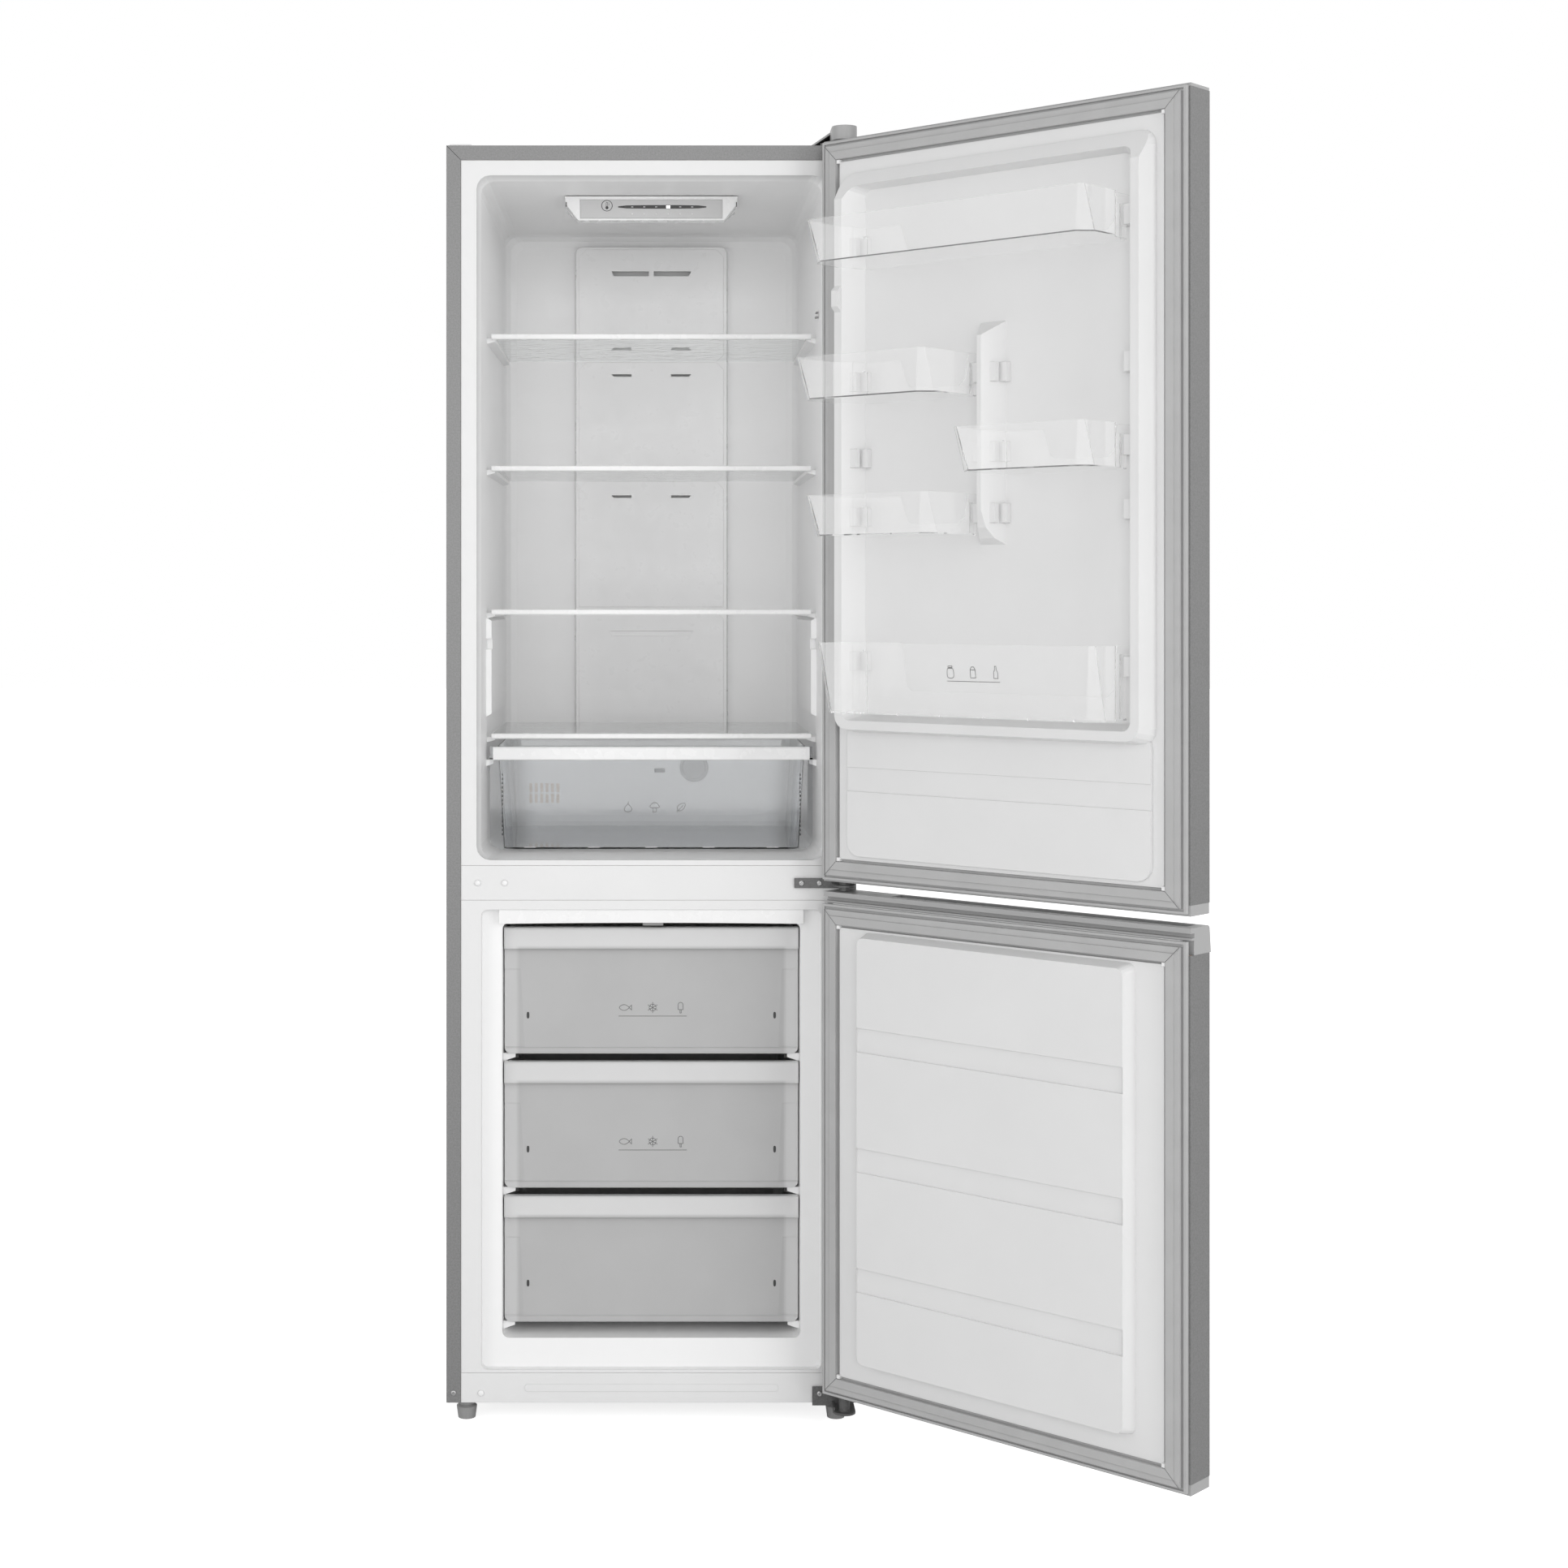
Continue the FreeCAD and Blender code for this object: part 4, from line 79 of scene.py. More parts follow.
class Graph:
    """A node material under construction."""

    def __init__(self, name):
        self.mat = bpy.data.materials.new(name)
        self.mat.use_nodes = True
        self.tree = self.mat.node_tree
        self.tree.nodes.clear()
        self.out = self.add("ShaderNodeOutputMaterial")
        self.where = self.add("ShaderNodeTexCoord").outputs["Object"]

    def add(self, kind, **values):
        node = self.tree.nodes.new(kind)
        for key, value in values.items():
            setattr(node, key, value)
        return node

    def link(self, source, target):
        self.tree.links.new(source, target)

    def noise(self, scale, detail=3.0, rough=0.5, stretch=None):
        """Noise over the object's own metres; scale is in cycles per metre."""
        node = self.add("ShaderNodeTexNoise")
        node.inputs["Scale"].default_value = scale
        node.inputs["Detail"].default_value = detail
        node.inputs["Roughness"].default_value = rough
        where = self.where
        if stretch:
            mapping = self.add("ShaderNodeMapping")
            mapping.inputs["Scale"].default_value = stretch
            self.link(where, mapping.inputs["Vector"])
            where = mapping.outputs["Vector"]
        self.link(where, node.inputs["Vector"])
        return node.outputs["Fac"]

    def ramp(self, source, low, high, at=(0.3, 0.7)):
        """Map a factor to a value between low and high."""
        node = self.add("ShaderNodeMapRange")
        for key, value in zip(("From Min", "From Max", "To Min", "To Max"), (*at, low, high)):
            node.inputs[key].default_value = value
        self.link(source, node.inputs["Value"])
        return node.outputs["Result"]

    def along(self, axis, start, end):
        """Factor that rises from 0 to 1 between two places on an axis, or on its mirrored half."""
        parts = self.add("ShaderNodeSeparateXYZ")
        self.link(self.where, parts.inputs[0])
        away = self.add("ShaderNodeMath", operation="ABSOLUTE")
        self.link(parts.outputs[axis], away.inputs[0])
        return self.ramp(away.outputs[0], 0.0, 1.0, (start, end))

    def blend(self, factor, first, second):
        """Mix two colours by a factor socket."""
        node = self.add("ShaderNodeMix", data_type="RGBA")
        self.link(factor, node.inputs["Factor"])
        for socket, colour in ((node.inputs["A"], first), (node.inputs["B"], second)):
            if isinstance(colour, tuple):
                socket.default_value = colour
            else:
                self.link(colour, socket)
        return node.outputs["Result"]

    def bump(self, height, distance, strength, after=None):
        node = self.add("ShaderNodeBump")
        node.inputs["Distance"].default_value = distance
        node.inputs["Strength"].default_value = strength
        self.link(height, node.inputs["Height"])
        if after:
            self.link(after, node.inputs["Normal"])
        return node.outputs["Normal"]

    def round_edges(self, radius):
        node = self.add("ShaderNodeBevel", samples=4)
        node.inputs["Radius"].default_value = radius
        return node.outputs["Normal"]

    def principled(self, colour, rough, normal=None, **values):
        node = self.add("ShaderNodeBsdfPrincipled")
        for socket, value in (("Base Color", colour), ("Roughness", rough)):
            if isinstance(value, (tuple, float, int)):
                node.inputs[socket].default_value = value
            else:
                self.link(value, node.inputs[socket])
        if normal:
            self.link(normal, node.inputs["Normal"])
        for key, value in values.items():
            node.inputs[key.replace("_", " ").title().replace("Ior", "IOR")].default_value = value
        return node.outputs["BSDF"]

    def finish(self, shader):
        self.link(shader, self.out.inputs["Surface"])
        return self.mat


def moulded(name, value, rough=0.35, grain=260.0, depth=0.00002, warm=0.0):
    """Moulded plastic: faint colour drift, fine grain in the gloss and softened edges."""
    g = Graph(name)
    colour = g.blend(g.noise(9.0, 2.0), grey(value - 4, warm), grey(value + 2, warm))
    normal = g.bump(g.noise(grain, 3.0, 0.5), depth, 0.4, g.round_edges(SOFT_EDGE))
    gloss = g.ramp(g.noise(60.0, 4.0), rough - 0.04, rough + 0.06)
    return g.finish(g.principled(colour, gloss, normal))


def painted_sheet(name, value, rough=0.42, metallic=0.35):
    """Silver-grey painted steel: mottled flakes and an orange-peel surface."""
    g = Graph(name)
    mottle = g.noise(420.0, 5.0, 0.7)
    flakes = g.noise(2600.0, 2.0, 0.5)
    colour = g.blend(g.ramp(mottle, 0.0, 1.0, (0.32, 0.68)), grey(value - 12), grey(value + 12))
    colour = g.blend(g.ramp(flakes, 0.0, 0.45, (0.45, 0.75)), colour, grey(value + 34))
    height = g.noise(1100.0, 4.0, 0.65)
    normal = g.bump(height, 0.00008, 0.6, g.round_edges(0.0008))
    gloss = g.ramp(mottle, rough - 0.06, rough + 0.08)
    return g.finish(g.principled(colour, gloss, normal, metallic=metallic))


def bellows_rubber(name, value):
    """Soft gasket rubber with faint lengthwise moulding lines."""
    g = Graph(name)
    colour = g.blend(g.noise(25.0, 3.0), grey(value - 7), grey(value + 5))
    normal = g.bump(g.noise(700.0, 4.0, 0.6), 0.00005, 0.5, g.round_edges(0.0015))
    return g.finish(g.principled(colour, g.ramp(g.noise(120.0), 0.48, 0.6), normal))


def clear(name, tint, rough=0.03, ior=1.45, film=0.985, coat=0.0, share=1.0):
    """Clear wall that bends what is behind it; lamps and soft light pass straight through."""
    g = Graph(name)
    normal = g.bump(g.noise(45.0, 2.0), 0.0004, 0.25)
    glass = g.principled(tint, rough, normal, transmission_weight=share, ior=ior, coat_weight=coat)
    through = g.add("ShaderNodeBsdfTransparent")
    through.inputs["Color"].default_value = (film, film, film, 1.0)
    path = g.add("ShaderNodeLightPath")
    either = g.add("ShaderNodeMath", operation="MAXIMUM")
    g.link(path.outputs["Is Shadow Ray"], either.inputs[0])
    g.link(path.outputs["Is Diffuse Ray"], either.inputs[1])
    mix = g.add("ShaderNodeMixShader")
    g.link(either.outputs[0], mix.inputs[0])
    g.link(glass, mix.inputs[1])
    g.link(through.outputs["BSDF"], mix.inputs[2])
    return g.finish(mix.outputs[0])


def frosted(name, value, share, grip):
    """Hazy moulding: part of the light scatters in its skin; above grip and at its sides it looks paler."""
    g = Graph(name)
    colour = g.blend(g.noise(14.0, 3.0), grey(value - 4), grey(value + 4))
    colour = g.blend(g.along("X", 0.193, 0.199), colour, grey(value + 22))
    colour = g.blend(g.along("Z", grip, grip + 0.004), colour, grey(value + 30))
    haze = g.ramp(g.noise(30.0, 3.0), 0.28, 0.38)
    normal = g.bump(g.noise(5.0, 1.0), 0.0006, 0.3, g.round_edges(0.001))
    return g.finish(g.principled(colour, haze, normal, transmission_weight=share, ior=1.25, coat_weight=0.2))


def liner(name, rim, room):
    """Liner sheet with painted light and shade: the rim round the mouth is a little darker than the room
    behind it, which is painted lighter to stand in for light inside the cavity.
    """
    g = Graph(name)
    colour = g.blend(g.noise(9.0, 2.0), grey(room - 4), grey(room))
    # painted shade on the rim round the mouth, painted light in the room behind it
    colour = g.blend(g.along("Y", 0.003, 0.022), grey(rim), colour)
    normal = g.bump(g.noise(260.0, 3.0), 0.00002, 0.3, g.round_edges(SOFT_EDGE))
    return g.finish(g.principled(colour, g.ramp(g.noise(60.0, 4.0), 0.3, 0.4), normal))


def bare_metal(name, value, rough=0.32, stretch=(1.0, 1.0, 12.0)):
    """Rolled or plated metal with directional hairlines."""
    g = Graph(name)
    lines = g.noise(500.0, 4.0, 0.6, stretch)
    colour = g.blend(lines, grey(value - 14), grey(value + 10))
    normal = g.bump(lines, 0.00004, 0.4, g.round_edges(0.0006))
    return g.finish(g.principled(colour, g.ramp(lines, rough - 0.06, rough + 0.1), normal, metallic=1.0))


def glow(name, value, strength):
    """Small lit mark."""
    g = Graph(name)
    return g.finish(g.principled(grey(value), 0.3, emission_color=WHITE_LIGHT, emission_strength=strength))


# ------------------------------------------------------------------ materials
STEEL = painted_sheet("silver_steel", 124)
WHITE = moulded("liner_white", 226, rough=0.34)
# rim 226, room 250: the room is painted lighter, as painted light inside the cavity
LINER_PAINTED_LIGHT = liner("cabinet_liner_painted_light", 226, 250)
TRIM = moulded("trim_white", 238, rough=0.25)
# duct cover painted lighter (250) than the other whites (226), like the liner's room: painted light inside
# the cavity
DUCT_PAINTED_LIGHT = moulded("duct_white_painted_light", 250, rough=0.3)
FRAME_GREY = moulded("frame_grey", 168, rough=0.38)
PALE_GREY = moulded("foot_grey", 150, rough=0.45)
# dark moulding for the dark parts, and the painted shade of the rear wall's slot
DARK_MOULDING_AND_SLOT_SHADE = moulded("dark_moulding_and_slot_shade", 44, rough=0.45)
GASKET = bellows_rubber("gasket_grey", 180)
RUBBER = bellows_rubber("black_rubber", 34)
DOOR_WHITE = moulded("door_white", 226, rough=0.34)
CLEAR = clear("clear_moulding", (0.99, 0.99, 0.99, 1.0), ior=1.2, coat=0.8, share=0.88)
CRISPER_CLEAR = clear("crisper_clear", (0.83, 0.84, 0.85, 1.0), rough=0.05, ior=1.25, film=0.92, coat=0.5)
DRAWER_CLEAR = {name: frosted("drawer_clear_" + name, 206, 0.3, grip * MM)
                for name, grip in DRAWER_GRIPS.items()}
GLASS = clear("shelf_glass", (0.95, 0.97, 0.965, 1.0), rough=0.0, ior=1.35)
WINDOW = moulded("display_window", 196, rough=0.12)
PRINT = moulded("print_grey", 112, rough=0.5)
# dark print, and the painted shade of the housing's and the drawers' slots
DARK_PRINT_AND_SLOT_SHADE = moulded("dark_print_and_slot_shade", 58, rough=0.3)
LIT = glow("display_light", 250, 1.6)
HINGE_PAINT = painted_sheet("hinge_paint", 92, rough=0.35)
ZINC = bare_metal("zinc_sheet", 176)
BLACK_PAINT = painted_sheet("compressor_paint", 30, rough=0.3, metallic=0.1)
COPPER = bare_metal("copper_tube", 150, rough=0.25)
ALUMINIUM = bare_metal("fin_aluminium", 205, rough=0.3, stretch=(12.0, 1.0, 1.0))
FOAM = moulded("rigid_foam", 214, rough=0.9, grain=300.0, depth=0.0006, warm=14)

BY_NODE = {
    STEEL: "cabinet_shell upper_door_skin lower_door_skin",
    LINER_PAINTED_LIGHT: "fridge_liner freezer_liner",
    WHITE: "mullion_cover kick_panel evaporator_cover",
    DOOR_WHITE: "upper_door_liner lower_door_liner",
    DUCT_PAINTED_LIGHT: "duct_cover",
    TRIM: "control_housing freezer_top_trim crisper_cover_trim shelf_trim_upper shelf_trim_middle "
          "shelf_trim_lower crisper_handle blanking_plugs",
    FRAME_GREY: "top_hinge_cover upper_door_caps lower_door_caps lower_door_handle",
    PALE_GREY: "front_foot_left front_foot_right",
    DARK_MOULDING_AND_SLOT_SHADE: "fan_motor fan_blade drip_tray machine_cover rear_roller_left rear_roller_right",
    GASKET: "upper_door_gasket lower_door_gasket",
    RUBBER: "compressor_mounts",
    CLEAR: "bin_top bin_left_upper bin_right bin_left_lower bin_bottle",
    CRISPER_CLEAR: "crisper_drawer",
    **{material: "freezer_drawer_" + name for name, material in DRAWER_CLEAR.items()},
    GLASS: "shelf_upper shelf_middle shelf_lower crisper_cover",
    WINDOW: "control_window",
    HINGE_PAINT: "top_hinge middle_hinge bottom_hinge",
    ZINC: "back_panel base_plate cabinet_screws",
    BLACK_PAINT: "compressor",
    COPPER: "refrigerant_pipes",
    ALUMINIUM: "evaporator",
    FOAM: "cabinet_foam upper_door_foam lower_door_foam",
}
for material, names in BY_NODE.items():
    for node in names.split():
        slots = NODES[node].data.materials
        slots.clear()
        slots.append(material)


# ------------------------------------------------------------------ drawn and moulded details
class Plane:
    """A flat place on the object to draw on, in millimetres: right and up lie in it, out leaves it."""

    def __init__(self, origin, right, up):
        self.origin = Vector(origin)
        self.right, self.up = Vector(right).normalized(), Vector(up).normalized()
        self.out = self.right.cross(self.up)

    def at(self, x, y, lift=0.0):
        return (self.origin + self.right * x + self.up * y + self.out * lift) * MM

    def moved(self, x, y):
        return Plane(self.origin + self.right * x + self.up * y, self.right, self.up)


def facing_front(x, y, z):
    return Plane((x, y, z), (1, 0, 0), (0, 0, 1))


def facing_liner(x, y, z):
    """Plane on a door's rear, the door closed: seen from the room, so right is -X."""
    return Plane((x, y, z), (-1, 0, 0), (0, 0, 1))


def skin(build, rings, cap=True):
    """Faces between closed rings of points, and over the first and last one."""
    rows = [[build.verts.new(point) for point in ring] for ring in rings]
    count = len(rows[0])
    for near, far in zip(rows, rows[1:]):
        for i in range(count):
            j = (i + 1) % count
            build.faces.new((near[i], near[j], far[j], far[i]))
    if cap:
        build.faces.new(rows[0])
        build.faces.new(rows[-1])


def sides_of(points, index, closed):
    """Directions along a path before and after one of its points."""
    last = len(points) - 1
    here = Vector(points[index])
    before = Vector(points[index - 1]) if index or closed else here * 2 - Vector(points[1])
    if index < last or closed:
        after = Vector(points[(index + 1) % len(points)])
    else:
        after = here * 2 - Vector(points[last - 1])
    return (here - before).normalized(), (after - here).normalized()


def stroke(build, plane, points, width, height, closed=False):
    """Raised line along points of a plane, with a flat top and leaning sides."""
    rings = []
    for index, (x, y) in enumerate(points):
        first, second = sides_of(points, index, closed)
        normal = Vector((-first.y - second.y, first.x + second.x)).normalized()
        reach = width / 2 / max(0.4, normal.dot(Vector((-first.y, first.x))))
        rings.append([plane.at(x + normal.x * reach * share, y + normal.y * reach * share, lift)
                      for share, lift in ((-1, 0), (-0.6, height), (0.6, height), (1, 0))])
    if closed:
        rings.append(rings[0])
    skin(build, rings, cap=not closed)


def slab(build, plane, points, height, rim):
    """Plate with a chamfered rim on a plane."""
    middle = sum((Vector(point) for point in points), Vector((0, 0))) / len(points)
    reach = max((Vector(point) - middle).length for point in points)
    smaller = [middle + (Vector(point) - middle) * (1 - rim / reach) for point in points]
    skin(build, [[plane.at(x, y, 0) for x, y in points], [plane.at(x, y, height - rim) for x, y in points],
                 [plane.at(point.x, point.y, height) for point in smaller]])


def turned(build, plane, profile, count=20):
    """Round form on a plane from (radius, lift) steps."""
    turns = [2 * math.pi * step / count for step in range(count)]
    skin(build, [[plane.at(radius * math.cos(turn), radius * math.sin(turn), lift) for turn in turns]
                 for radius, lift in profile])


def arc(radius, start=0.0, sweep=360.0, centre=(0.0, 0.0), count=20):
    """Points along an arc; a full turn leaves out its last point."""
    steps = count if sweep % 360 else count - 1
    turns = [math.radians(start + sweep * step / count) for step in range(steps + 1)]
    return [(centre[0] + radius * math.cos(turn), centre[1] + radius * math.sin(turn)) for turn in turns]


def block(x0, x1, y0, y1):
    return [(x0, y0), (x1, y0), (x1, y1), (x0, y1)]


def soft(points, steps=4):
    """Closed path rounded through its points."""
    path, count = [], len(points)
    for index in range(count):
        a, b, c, d = (Vector(points[(index + step) % count]) for step in (-1, 0, 1, 2))
        for step in range(steps):
            t = step / steps
            curve = (c - a) * t + (2 * a - 5 * b + 4 * c - d) * t * t + (3 * b - a - 3 * c + d) * t ** 3
            point = b + curve / 2
            path.append((point.x, point.y))
    return path


def piece(name, body, material, draw, swung=False, smooth=False):
    """Mesh piece drawn in place, or on a closed door that then swings open; it rides on a body."""
    mesh = bpy.data.meshes.new(name)
    build = bmesh.new()
    draw(build)
    if swung:
        bmesh.ops.transform(build, matrix=OPEN, verts=build.verts)
    bmesh.ops.recalc_face_normals(build, faces=build.faces)
    for face in build.faces:
        face.smooth = smooth
    build.to_mesh(mesh)
    build.free()
    obj = bpy.data.objects.new(name, mesh)
    bpy.context.scene.collection.objects.link(obj)
    mesh.materials.append(material)
    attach(obj, body)
    return obj


def cross_recess(turn):
    """Radius of a cross-shaped recess's edge at an angle in degrees, for a unit long arm."""
    lean = abs((turn + 45) % 90 - 45)
    tip, half = 14.6, 0.26
    return 1 / math.cos(math.radians(lean)) if lean <= tip else half / math.sin(math.radians(lean))


def screw_head(build, plane, radius, height):
    """Domed head with a cross recess."""
    turns = [quarter + step for quarter in (0, 90, 180, 270) for step in (-30, -14.5, 0, 14.5, 30, 45)]

    def ring(size, lift, crossed=False):
        sizes = [size * (cross_recess(turn) if crossed else 1) for turn in turns]
        return [plane.at(far * math.cos(math.radians(turn)), far * math.sin(math.radians(turn)), lift)
                for far, turn in zip(sizes, turns)]
    skin(build, [ring(radius, 0), ring(radius, 0.45 * height), ring(0.86 * radius, 0.8 * height),
                 ring(0.66 * radius, height), ring(0.5 * radius, height, True),
                 ring(0.42 * radius, 0.35 * height, True)])


def screws():
    """Domed screws in the places of the CAD's plain heads."""
    places = [(218.0, BRACKET_Y, GAP_Z), (244.0, BRACKET_Y, GAP_Z), (244.0, BRACKET_Y, FOOT_Z),
              (-287.0, 0.0, FOOT_Z)]

    def draw(build):
        for place in places:
            screw_head(build, facing_front(*place), 4.0, 1.8)
    made = piece("bracket_screws", "cabinet", ZINC, draw)
    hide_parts("cabinet_screws")


def plug_domes():
    """Domes on the blanking plugs of the unused hinge holes."""
    def draw(build):
        for x, z in ((-251.9, GAP_Z), (-212.9, GAP_Z), (-247.3, FOOT_Z)):
            turned(build, facing_front(x, PLUG_Y, z), [(4.6, 0), (4.1, 0.8), (2.9, 1.5), (1.2, 1.8)])
    piece("plug_domes", "cabinet", TRIM, draw, smooth=True)


def display():
    """Thermometer sign, level bar and its lit mark on the leaning window."""
    window = Plane((0, WINDOW_Y, WINDOW_Z), (1, 0, 0), (0, -WINDOW_LEAN, 1))
    pitch, lit = 18.1, 3
    sign, ticks = window.moved(-67.0, 1.8), [step * pitch - 28.8 for step in range(6)]

    def dark(build):
        stroke(build, sign, arc(8.0, count=32), 0.9, PRINT_HEIGHT, True)
        stem = [(1.1, -1.2), (1.1, 4.4), (0, 5.2), (-1.1, 4.4), (-1.1, -1.2)]
        stroke(build, sign, stem, 0.6, PRINT_HEIGHT)
        turned(build, sign.moved(0, -3.0), [(2.3, 0), (2.1, 0.15)])
        for step in range(3):
            stroke(build, sign, [(2.4, 1.0 + 1.6 * step), (4.0, 1.0 + 1.6 * step)], 0.5, PRINT_HEIGHT)
        slab(build, window, soft(block(-38.0, 71.0, -2.2, 2.2), 3), 0.16, 0.05)
    piece("display_print", "cabinet", DARK_PRINT_AND_SLOT_SHADE, dark)

    def pale(build):
        for index, x in enumerate(ticks):
            if index != lit:
                slab(build, window.moved(x, 0), block(-1.6, 1.6, -0.5, 0.5), 0.24, 0.05)
            slab(build, window.moved(x, -10.5), arc(0.9, count=12), 0.14, 0.05)
    piece("display_ticks", "cabinet", TRIM, pale)
    piece("display_light", "cabinet", LIT,
          lambda build: slab(build, window.moved(ticks[lit], 0), block(-2.9, 2.9, -2.0, 2.0), 0.3, 0.1))

    # the housing's release slots are dark plates: painted shade in place of the openings
    def release_slot_shade(build):
        for x in (-128.5, 128.5):
            slab(build, facing_front(x, 141.6, 1792.5), block(-0.7, 0.7, -3.5, 3.5), 0.3, 0.1)
    piece("housing_release_slot_shade", "cabinet", DARK_PRINT_AND_SLOT_SHADE, release_slot_shade)


def leaf(draw):
    draw(soft([(-5, -5), (-5.5, 1), (0, 5.5), (5.5, 5.5), (5, 0), (0.5, -4.5)]), True)
    draw([(-7, -7), (-2, -2), (3, 3)])


def pear(draw):
    draw(soft([(0, -7), (5, -5), (5.2, -1), (2.2, 3), (0, 5), (-2.2, 3), (-5.2, -1), (-5, -5)]), True)
    draw([(0, 5.2), (0.8, 8.2)])


def mushroom(draw):
    draw(soft([(-7, 0), (-4.5, 5.2), (0, 7), (4.5, 5.2), (7, 0), (0, -0.8)]), True)
    draw([(-2.2, -1.2), (-2.6, -7), (2.6, -7), (2.2, -1.2)])


def fish(draw):
    draw(soft([(-8, 0), (-4, 3.6), (1, 4), (6, 0.8), (6, -0.8), (1, -4), (-4, -3.6)]), True)
    draw([(6.2, 0), (10, 3.6), (10, -3.6), (6.2, 0)])


def snow(draw):
    for turn in (30, 90, 150):
        c, s = math.cos(math.radians(turn)), math.sin(math.radians(turn))
        draw([(-8 * c, -8 * s), (8 * c, 8 * s)])
        for side in (-1, 1):
            draw([(side * 5.2 * c - 2.4 * s, side * 5.2 * s + 2.4 * c), (side * 4 * c, side * 4 * s),
                  (side * 5.2 * c + 2.4 * s, side * 5.2 * s - 2.4 * c)])


def ice_lolly(draw):
    draw([(-3.6, -3), (3.6, -3)] + arc(3.6, 0, 180, (0, 4), 10), True)
    draw([(-0.9, -3.2), (-0.9, -8), (0.9, -8), (0.9, -3.2)])


def jar(draw):
    draw(soft([(-4.5, -7.5), (4.5, -7.5), (4.8, 2.5), (2.8, 4.5), (-2.8, 4.5), (-4.8, 2.5)], 3), True)
    draw(block(-3.2, 3.2, 5.6, 7.6), True)


def carton(draw):
    draw([(-4, -7.5), (4, -7.5), (4, 3), (2, 7), (-2, 7), (-4, 3)], True)
    draw([(-4, 3), (4, 3)])


def flask(draw):
    draw([(-3.2, -7.5), (3.2, -7.5), (3.2, 0.5), (1.2, 4), (1.2, 8.5), (-1.2, 8.5), (-1.2, 4), (-3.2, 0.5)],
         True)


def sign_row(name, body, plane, signs, pitch, line, rule, swung=False):
    """Row of plain food signs, drawn with lines of one width, with a rule of half length rule below."""
    def draw(build):
        for index, sign in enumerate(signs):
            place = plane.moved((index - (len(signs) - 1) / 2) * pitch, 0)
            sign(lambda points, closed=False: stroke(build, place, points, line, PRINT_HEIGHT, closed))
        if rule:
            stroke(build, plane, [(-rule, -12.5), (rule, -12.5)], 0.8, PRINT_HEIGHT)
    piece(name, body, PRINT, draw, swung)


def food_signs():
    """Generic food signs on the crisper, the upper two freezer drawers and the bottle bin."""
    sign_row("crisper_signs", "crisper", facing_front(5.0, CRISPER_FACE, 884.0), (pear, mushroom, leaf),
             40.0, 0.7, 0)
    for name in ("upper", "middle"):
        face = facing_front(2.0, DRAWER_FACE, DRAWER_LOWS[name] + 67.2)
        sign_row("drawer_signs_" + name, "freezer_drawer_" + name, face, (fish, snow, ice_lolly), 41.0, 0.8,
                 50.0)
    lean = Plane((-35.0, 92.4, 1100.0), (-1, 0, 0), (0, 12, 97))
    sign_row("bottle_bin_signs", "bin_bottle", lean, (jar, carton, flask), 36.0, 0.9, 42.0, swung=True)


def crisper_details():
    """Dashes moulded along the foot and up both sides of the crisper's front."""
    def foot(build):
        for x in (-182, -86, 0, 86, 182):
            stroke(build, facing_front(x, CRISPER_FOOT, 824.2), [(-9, 0), (9, 0)], 1.2, 0.15)
    piece("crisper_foot_marks", "crisper", TRIM, foot)

    def ribs(build):
        pitch = 6.4
        for x in (-223.5, 223.5):
            for step in range(15):
                low = facing_front(x, CRISPER_FOOT + 0.2, 842 + pitch * step)
                stroke(build, low, [(0, 0), (0, pitch / 2)], 1.5, 0.1)
    piece("crisper_side_teeth", "crisper", DARK_PRINT_AND_SLOT_SHADE, ribs)


def wall_details():
    """Round sensor cover and the slot low on the rear wall, painted as a dark plate of shade, and the clip
    on the right wall.
    """
    def cover(build):
        profile = [(24, 0), (24, 2.0), (22, 3.2), (20, 3.2), (18.5, 1.8), (4, 1.6)]
        turned(build, facing_front(71.0, REAR_WALL, 917.0), profile, 40)
    piece("sensor_cover", "cabinet", FRAME_GREY, cover)
    # the slot is a raised dark plate: painted shade in place of the opening
    piece("rear_wall_slot_shade", "cabinet", DARK_MOULDING_AND_SLOT_SHADE,
          lambda build: slab(build, facing_front(14.0, REAR_WALL, 912.0), block(-9, 9, -3.5, 3.5), 1.0, 0.4))
    wall = Plane((247.6, 88.0, 1619.0), (0, -1, 0), (0, 0, 1))

    def clip(build):
        slab(build, wall, block(-7, 7, -4.5, -2.5), 4.0, 0.5)
        slab(build, wall, block(-7, 7, 2.5, 4.5), 3.0, 0.5)
    piece("wall_clip", "cabinet", PALE_GREY, clip)


def freezer_details():
    """Catch under the trim strip, stops between the drawers, and slots in the drawers' fronts painted as
    thin dark plates of shade.
    """
    piece("trim_catch", "cabinet", PALE_GREY,
          lambda build: slab(build, facing_front(2.5, 29.0, 721.5), block(-15, 15, -2.2, 2.2), 4.0, 0.5))

    def stops(build):
        for z in (524.3, 327.7):
            for x in (-198.5, 198.5):
                slab(build, facing_front(x, 62.0, z), block(-4, 4, -3.0, 3.0), 14.0, 0.8)
    piece("runner_stops", "cabinet", DARK_MOULDING_AND_SLOT_SHADE, stops)
    for name, low in DRAWER_LOWS.items():
        # each slot is a thin dark plate: painted shade in place of the opening
        def slots(build):
            for x in (-181.0, 181.0):
                place = facing_front(x, DRAWER_FACE, low + 56)
                slab(build, place, soft(block(-1.6, 1.6, -4, 4), 3), PRINT_HEIGHT, 0.04)
        piece("drawer_slots_" + name, "freezer_drawer_" + name, DARK_PRINT_AND_SLOT_SHADE, slots)


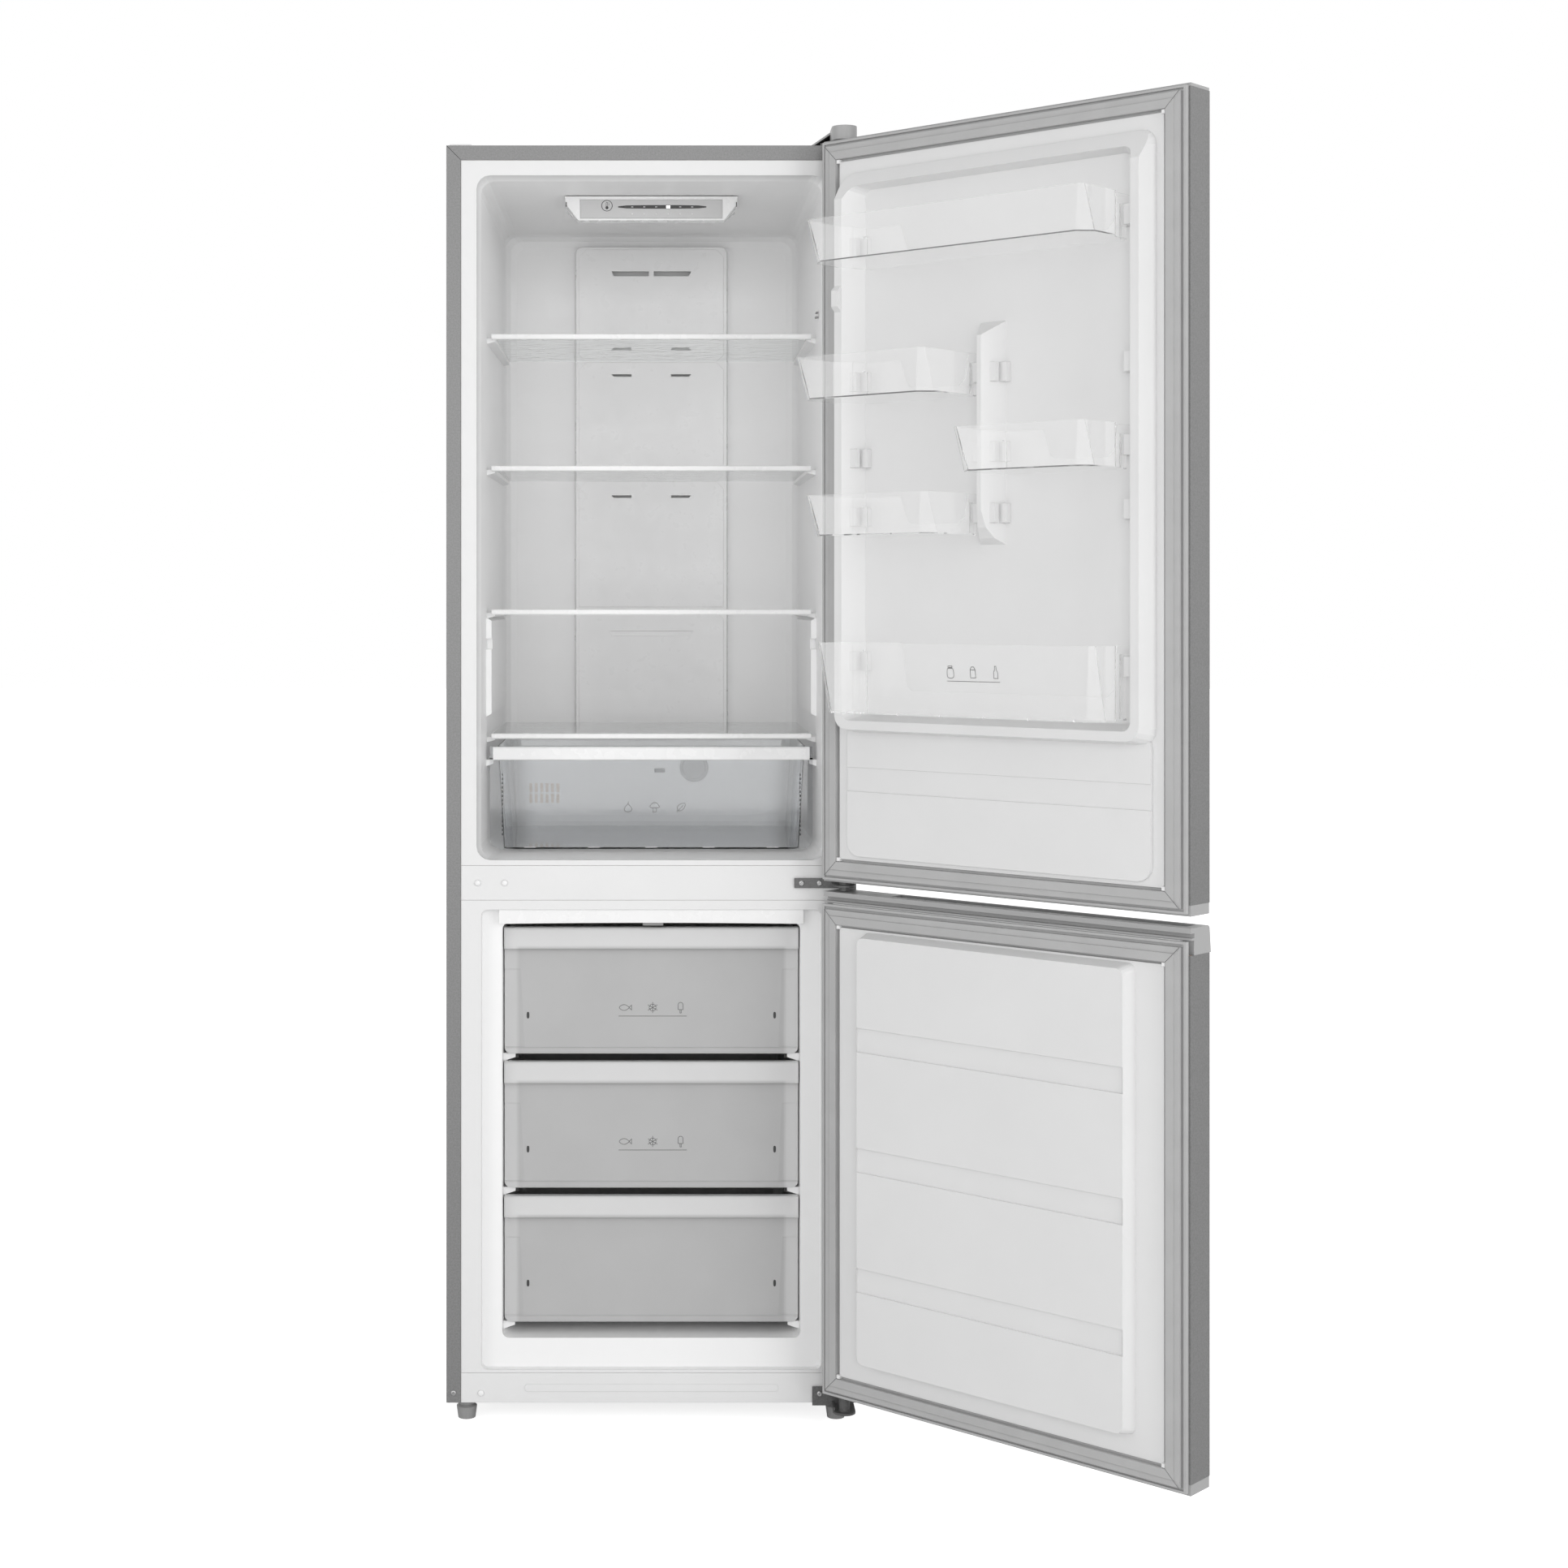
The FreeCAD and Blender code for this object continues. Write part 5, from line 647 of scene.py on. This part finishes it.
def gasket_details(door, low, high):
    """Mitred corners of a gasket and the white retainers in the corners of the liner inside it."""
    corners = [(x, z) for x in (-1, 1) for z in (-1, 1)]
    middle, reach = (low + high) / 2, (high - low) / 2

    def mitres(build):
        for x, z in corners:
            stroke(build, facing_liner(0, -0.3, middle),
                   [(x * (HALF - edge), z * (reach - edge)) for edge in (BAR_OUTER, BAR_INNER)], 0.7, 0.18)
    piece("gasket_mitres_" + door, door + "_door", PRINT, mitres, True)

    def retainers(build):
        for x, z in corners:
            tip = facing_liner(0, -12.0, middle).moved(x * (HALF - 36.5), z * (reach - 36.5))
            side = 5.5
            slab(build, tip, [(0, 0), (x * side, 0), (x * side, z * side), (0, z * side)], 11.0, 0.8)
    piece("gasket_retainers_" + door, door + "_door", TRIM, retainers, True)


def shell_mitres():
    """Folds where the steel shell's front edge turns the upper corners."""
    def draw(build):
        for side in (-1, 1):
            ends = [(side * (HALF - edge), SHELL_TOP - edge) for edge in (0.5, 20.5)]
            stroke(build, facing_front(0, 0, 0), ends, 0.8, 0.1)
    piece("shell_mitres", "cabinet", DARK_PRINT_AND_SLOT_SHADE, draw)


screws()
plug_domes()
display()
food_signs()
crisper_details()
wall_details()
freezer_details()
for door, heights in GASKET_HEIGHTS.items():
    gasket_details(door, *heights)
shell_mitres()


# ------------------------------------------------------------------ studio
def aim(obj, target):
    obj.rotation_euler = (Vector(target) - obj.location).to_track_quat("-Z", "Y").to_euler()


def softbox(name, place, target, size, power):
    data = bpy.data.lights.new(name, "AREA")
    data.shape, data.size, data.size_y, data.energy = "RECTANGLE", size[0], size[1], power
    lamp = bpy.data.objects.new(name, data)
    lamp.location = place
    bpy.context.scene.collection.objects.link(lamp)
    aim(lamp, target)


def studio_floor():
    """Wide pale sheet under the refrigerator; it looks white and keeps the object's shadow."""
    own_light = 0.75
    mesh = bpy.data.meshes.new("studio_floor")
    build = bmesh.new()
    bmesh.ops.create_grid(build, x_segments=40, y_segments=40, size=30)
    build.to_mesh(mesh)
    build.free()
    floor = bpy.data.objects.new("studio_floor", mesh)
    bpy.context.scene.collection.objects.link(floor)
    g = Graph("studio_floor")
    paper = g.blend(g.noise(3.0, 4.0), grey(236), grey(242))
    seen = g.add("ShaderNodeEmission")
    seen.inputs["Strength"].default_value = own_light
    path = g.add("ShaderNodeLightPath")
    dark = g.add("ShaderNodeEmission")
    dark.inputs["Strength"].default_value = 0.0
    choose = g.add("ShaderNodeMixShader")
    g.link(path.outputs["Is Camera Ray"], choose.inputs[0])
    g.link(dark.outputs[0], choose.inputs[1])
    g.link(seen.outputs[0], choose.inputs[2])
    both = g.add("ShaderNodeAddShader")
    g.link(g.principled(paper, 0.9), both.inputs[0])
    g.link(choose.outputs[0], both.inputs[1])
    floor.data.materials.append(g.finish(both.outputs[0]))


def studio_world(level):
    """Even pale surround: white where it is seen, mirrored or looked at through glass; level elsewhere."""
    world = bpy.data.worlds.new("studio")
    bpy.context.scene.world = world
    world.use_nodes = True
    tree = world.node_tree
    tree.nodes.clear()
    out = tree.nodes.new("ShaderNodeOutputWorld")
    path = tree.nodes.new("ShaderNodeLightPath")
    lit, seen = tree.nodes.new("ShaderNodeBackground"), tree.nodes.new("ShaderNodeBackground")
    lit.inputs["Strength"].default_value = level
    for node in (lit, seen):
        node.inputs["Color"].default_value = WHITE_LIGHT
    shown = path.outputs["Is Camera Ray"]
    for name in ("Is Glossy Ray", "Is Transmission Ray"):
        either = tree.nodes.new("ShaderNodeMath")
        either.operation = "MAXIMUM"
        tree.links.new(shown, either.inputs[0])
        tree.links.new(path.outputs[name], either.inputs[1])
        shown = either.outputs[0]
    mix = tree.nodes.new("ShaderNodeMixShader")
    tree.links.new(shown, mix.inputs[0])
    tree.links.new(lit.outputs[0], mix.inputs[1])
    tree.links.new(seen.outputs[0], mix.inputs[2])
    tree.links.new(mix.outputs[0], out.inputs[0])


def photo_camera():
    """Level camera at the photograph's place; the shift frames the refrigerator as it does."""
    width, focal, centre_x, centre_y = 1932, 3005, 802.5, 742        # of the photograph, in its pixels
    data = bpy.data.cameras.new("camera")
    data.sensor_width = 36.0
    data.lens = data.sensor_width * focal / width
    data.shift_x, data.shift_y = (width / 2 - centre_x) / width, (centre_y - width / 2) / width
    data.clip_end = 100
    camera = bpy.data.objects.new("camera", data)
    camera.location = (0.0, -3.540, 1.192)
    camera.rotation_euler = (math.radians(90), 0, 0)
    bpy.context.scene.collection.objects.link(camera)
    bpy.context.scene.camera = camera


studio_floor()
studio_world(0.62)
softbox("front_softbox", (0.0, -5.2, 1.7), (0.0, 0.2, 1.0), (2.2, 2.6), 46)
softbox("left_softbox", (-3.0, -2.9, 1.6), (0.2, 0.2, 1.0), (1.8, 2.6), 24)
softbox("right_softbox", (3.0, -3.2, 1.6), (-0.2, 0.2, 1.0), (1.8, 2.6), 50)
photo_camera()

bpy.context.scene.view_settings.view_transform = "Standard"
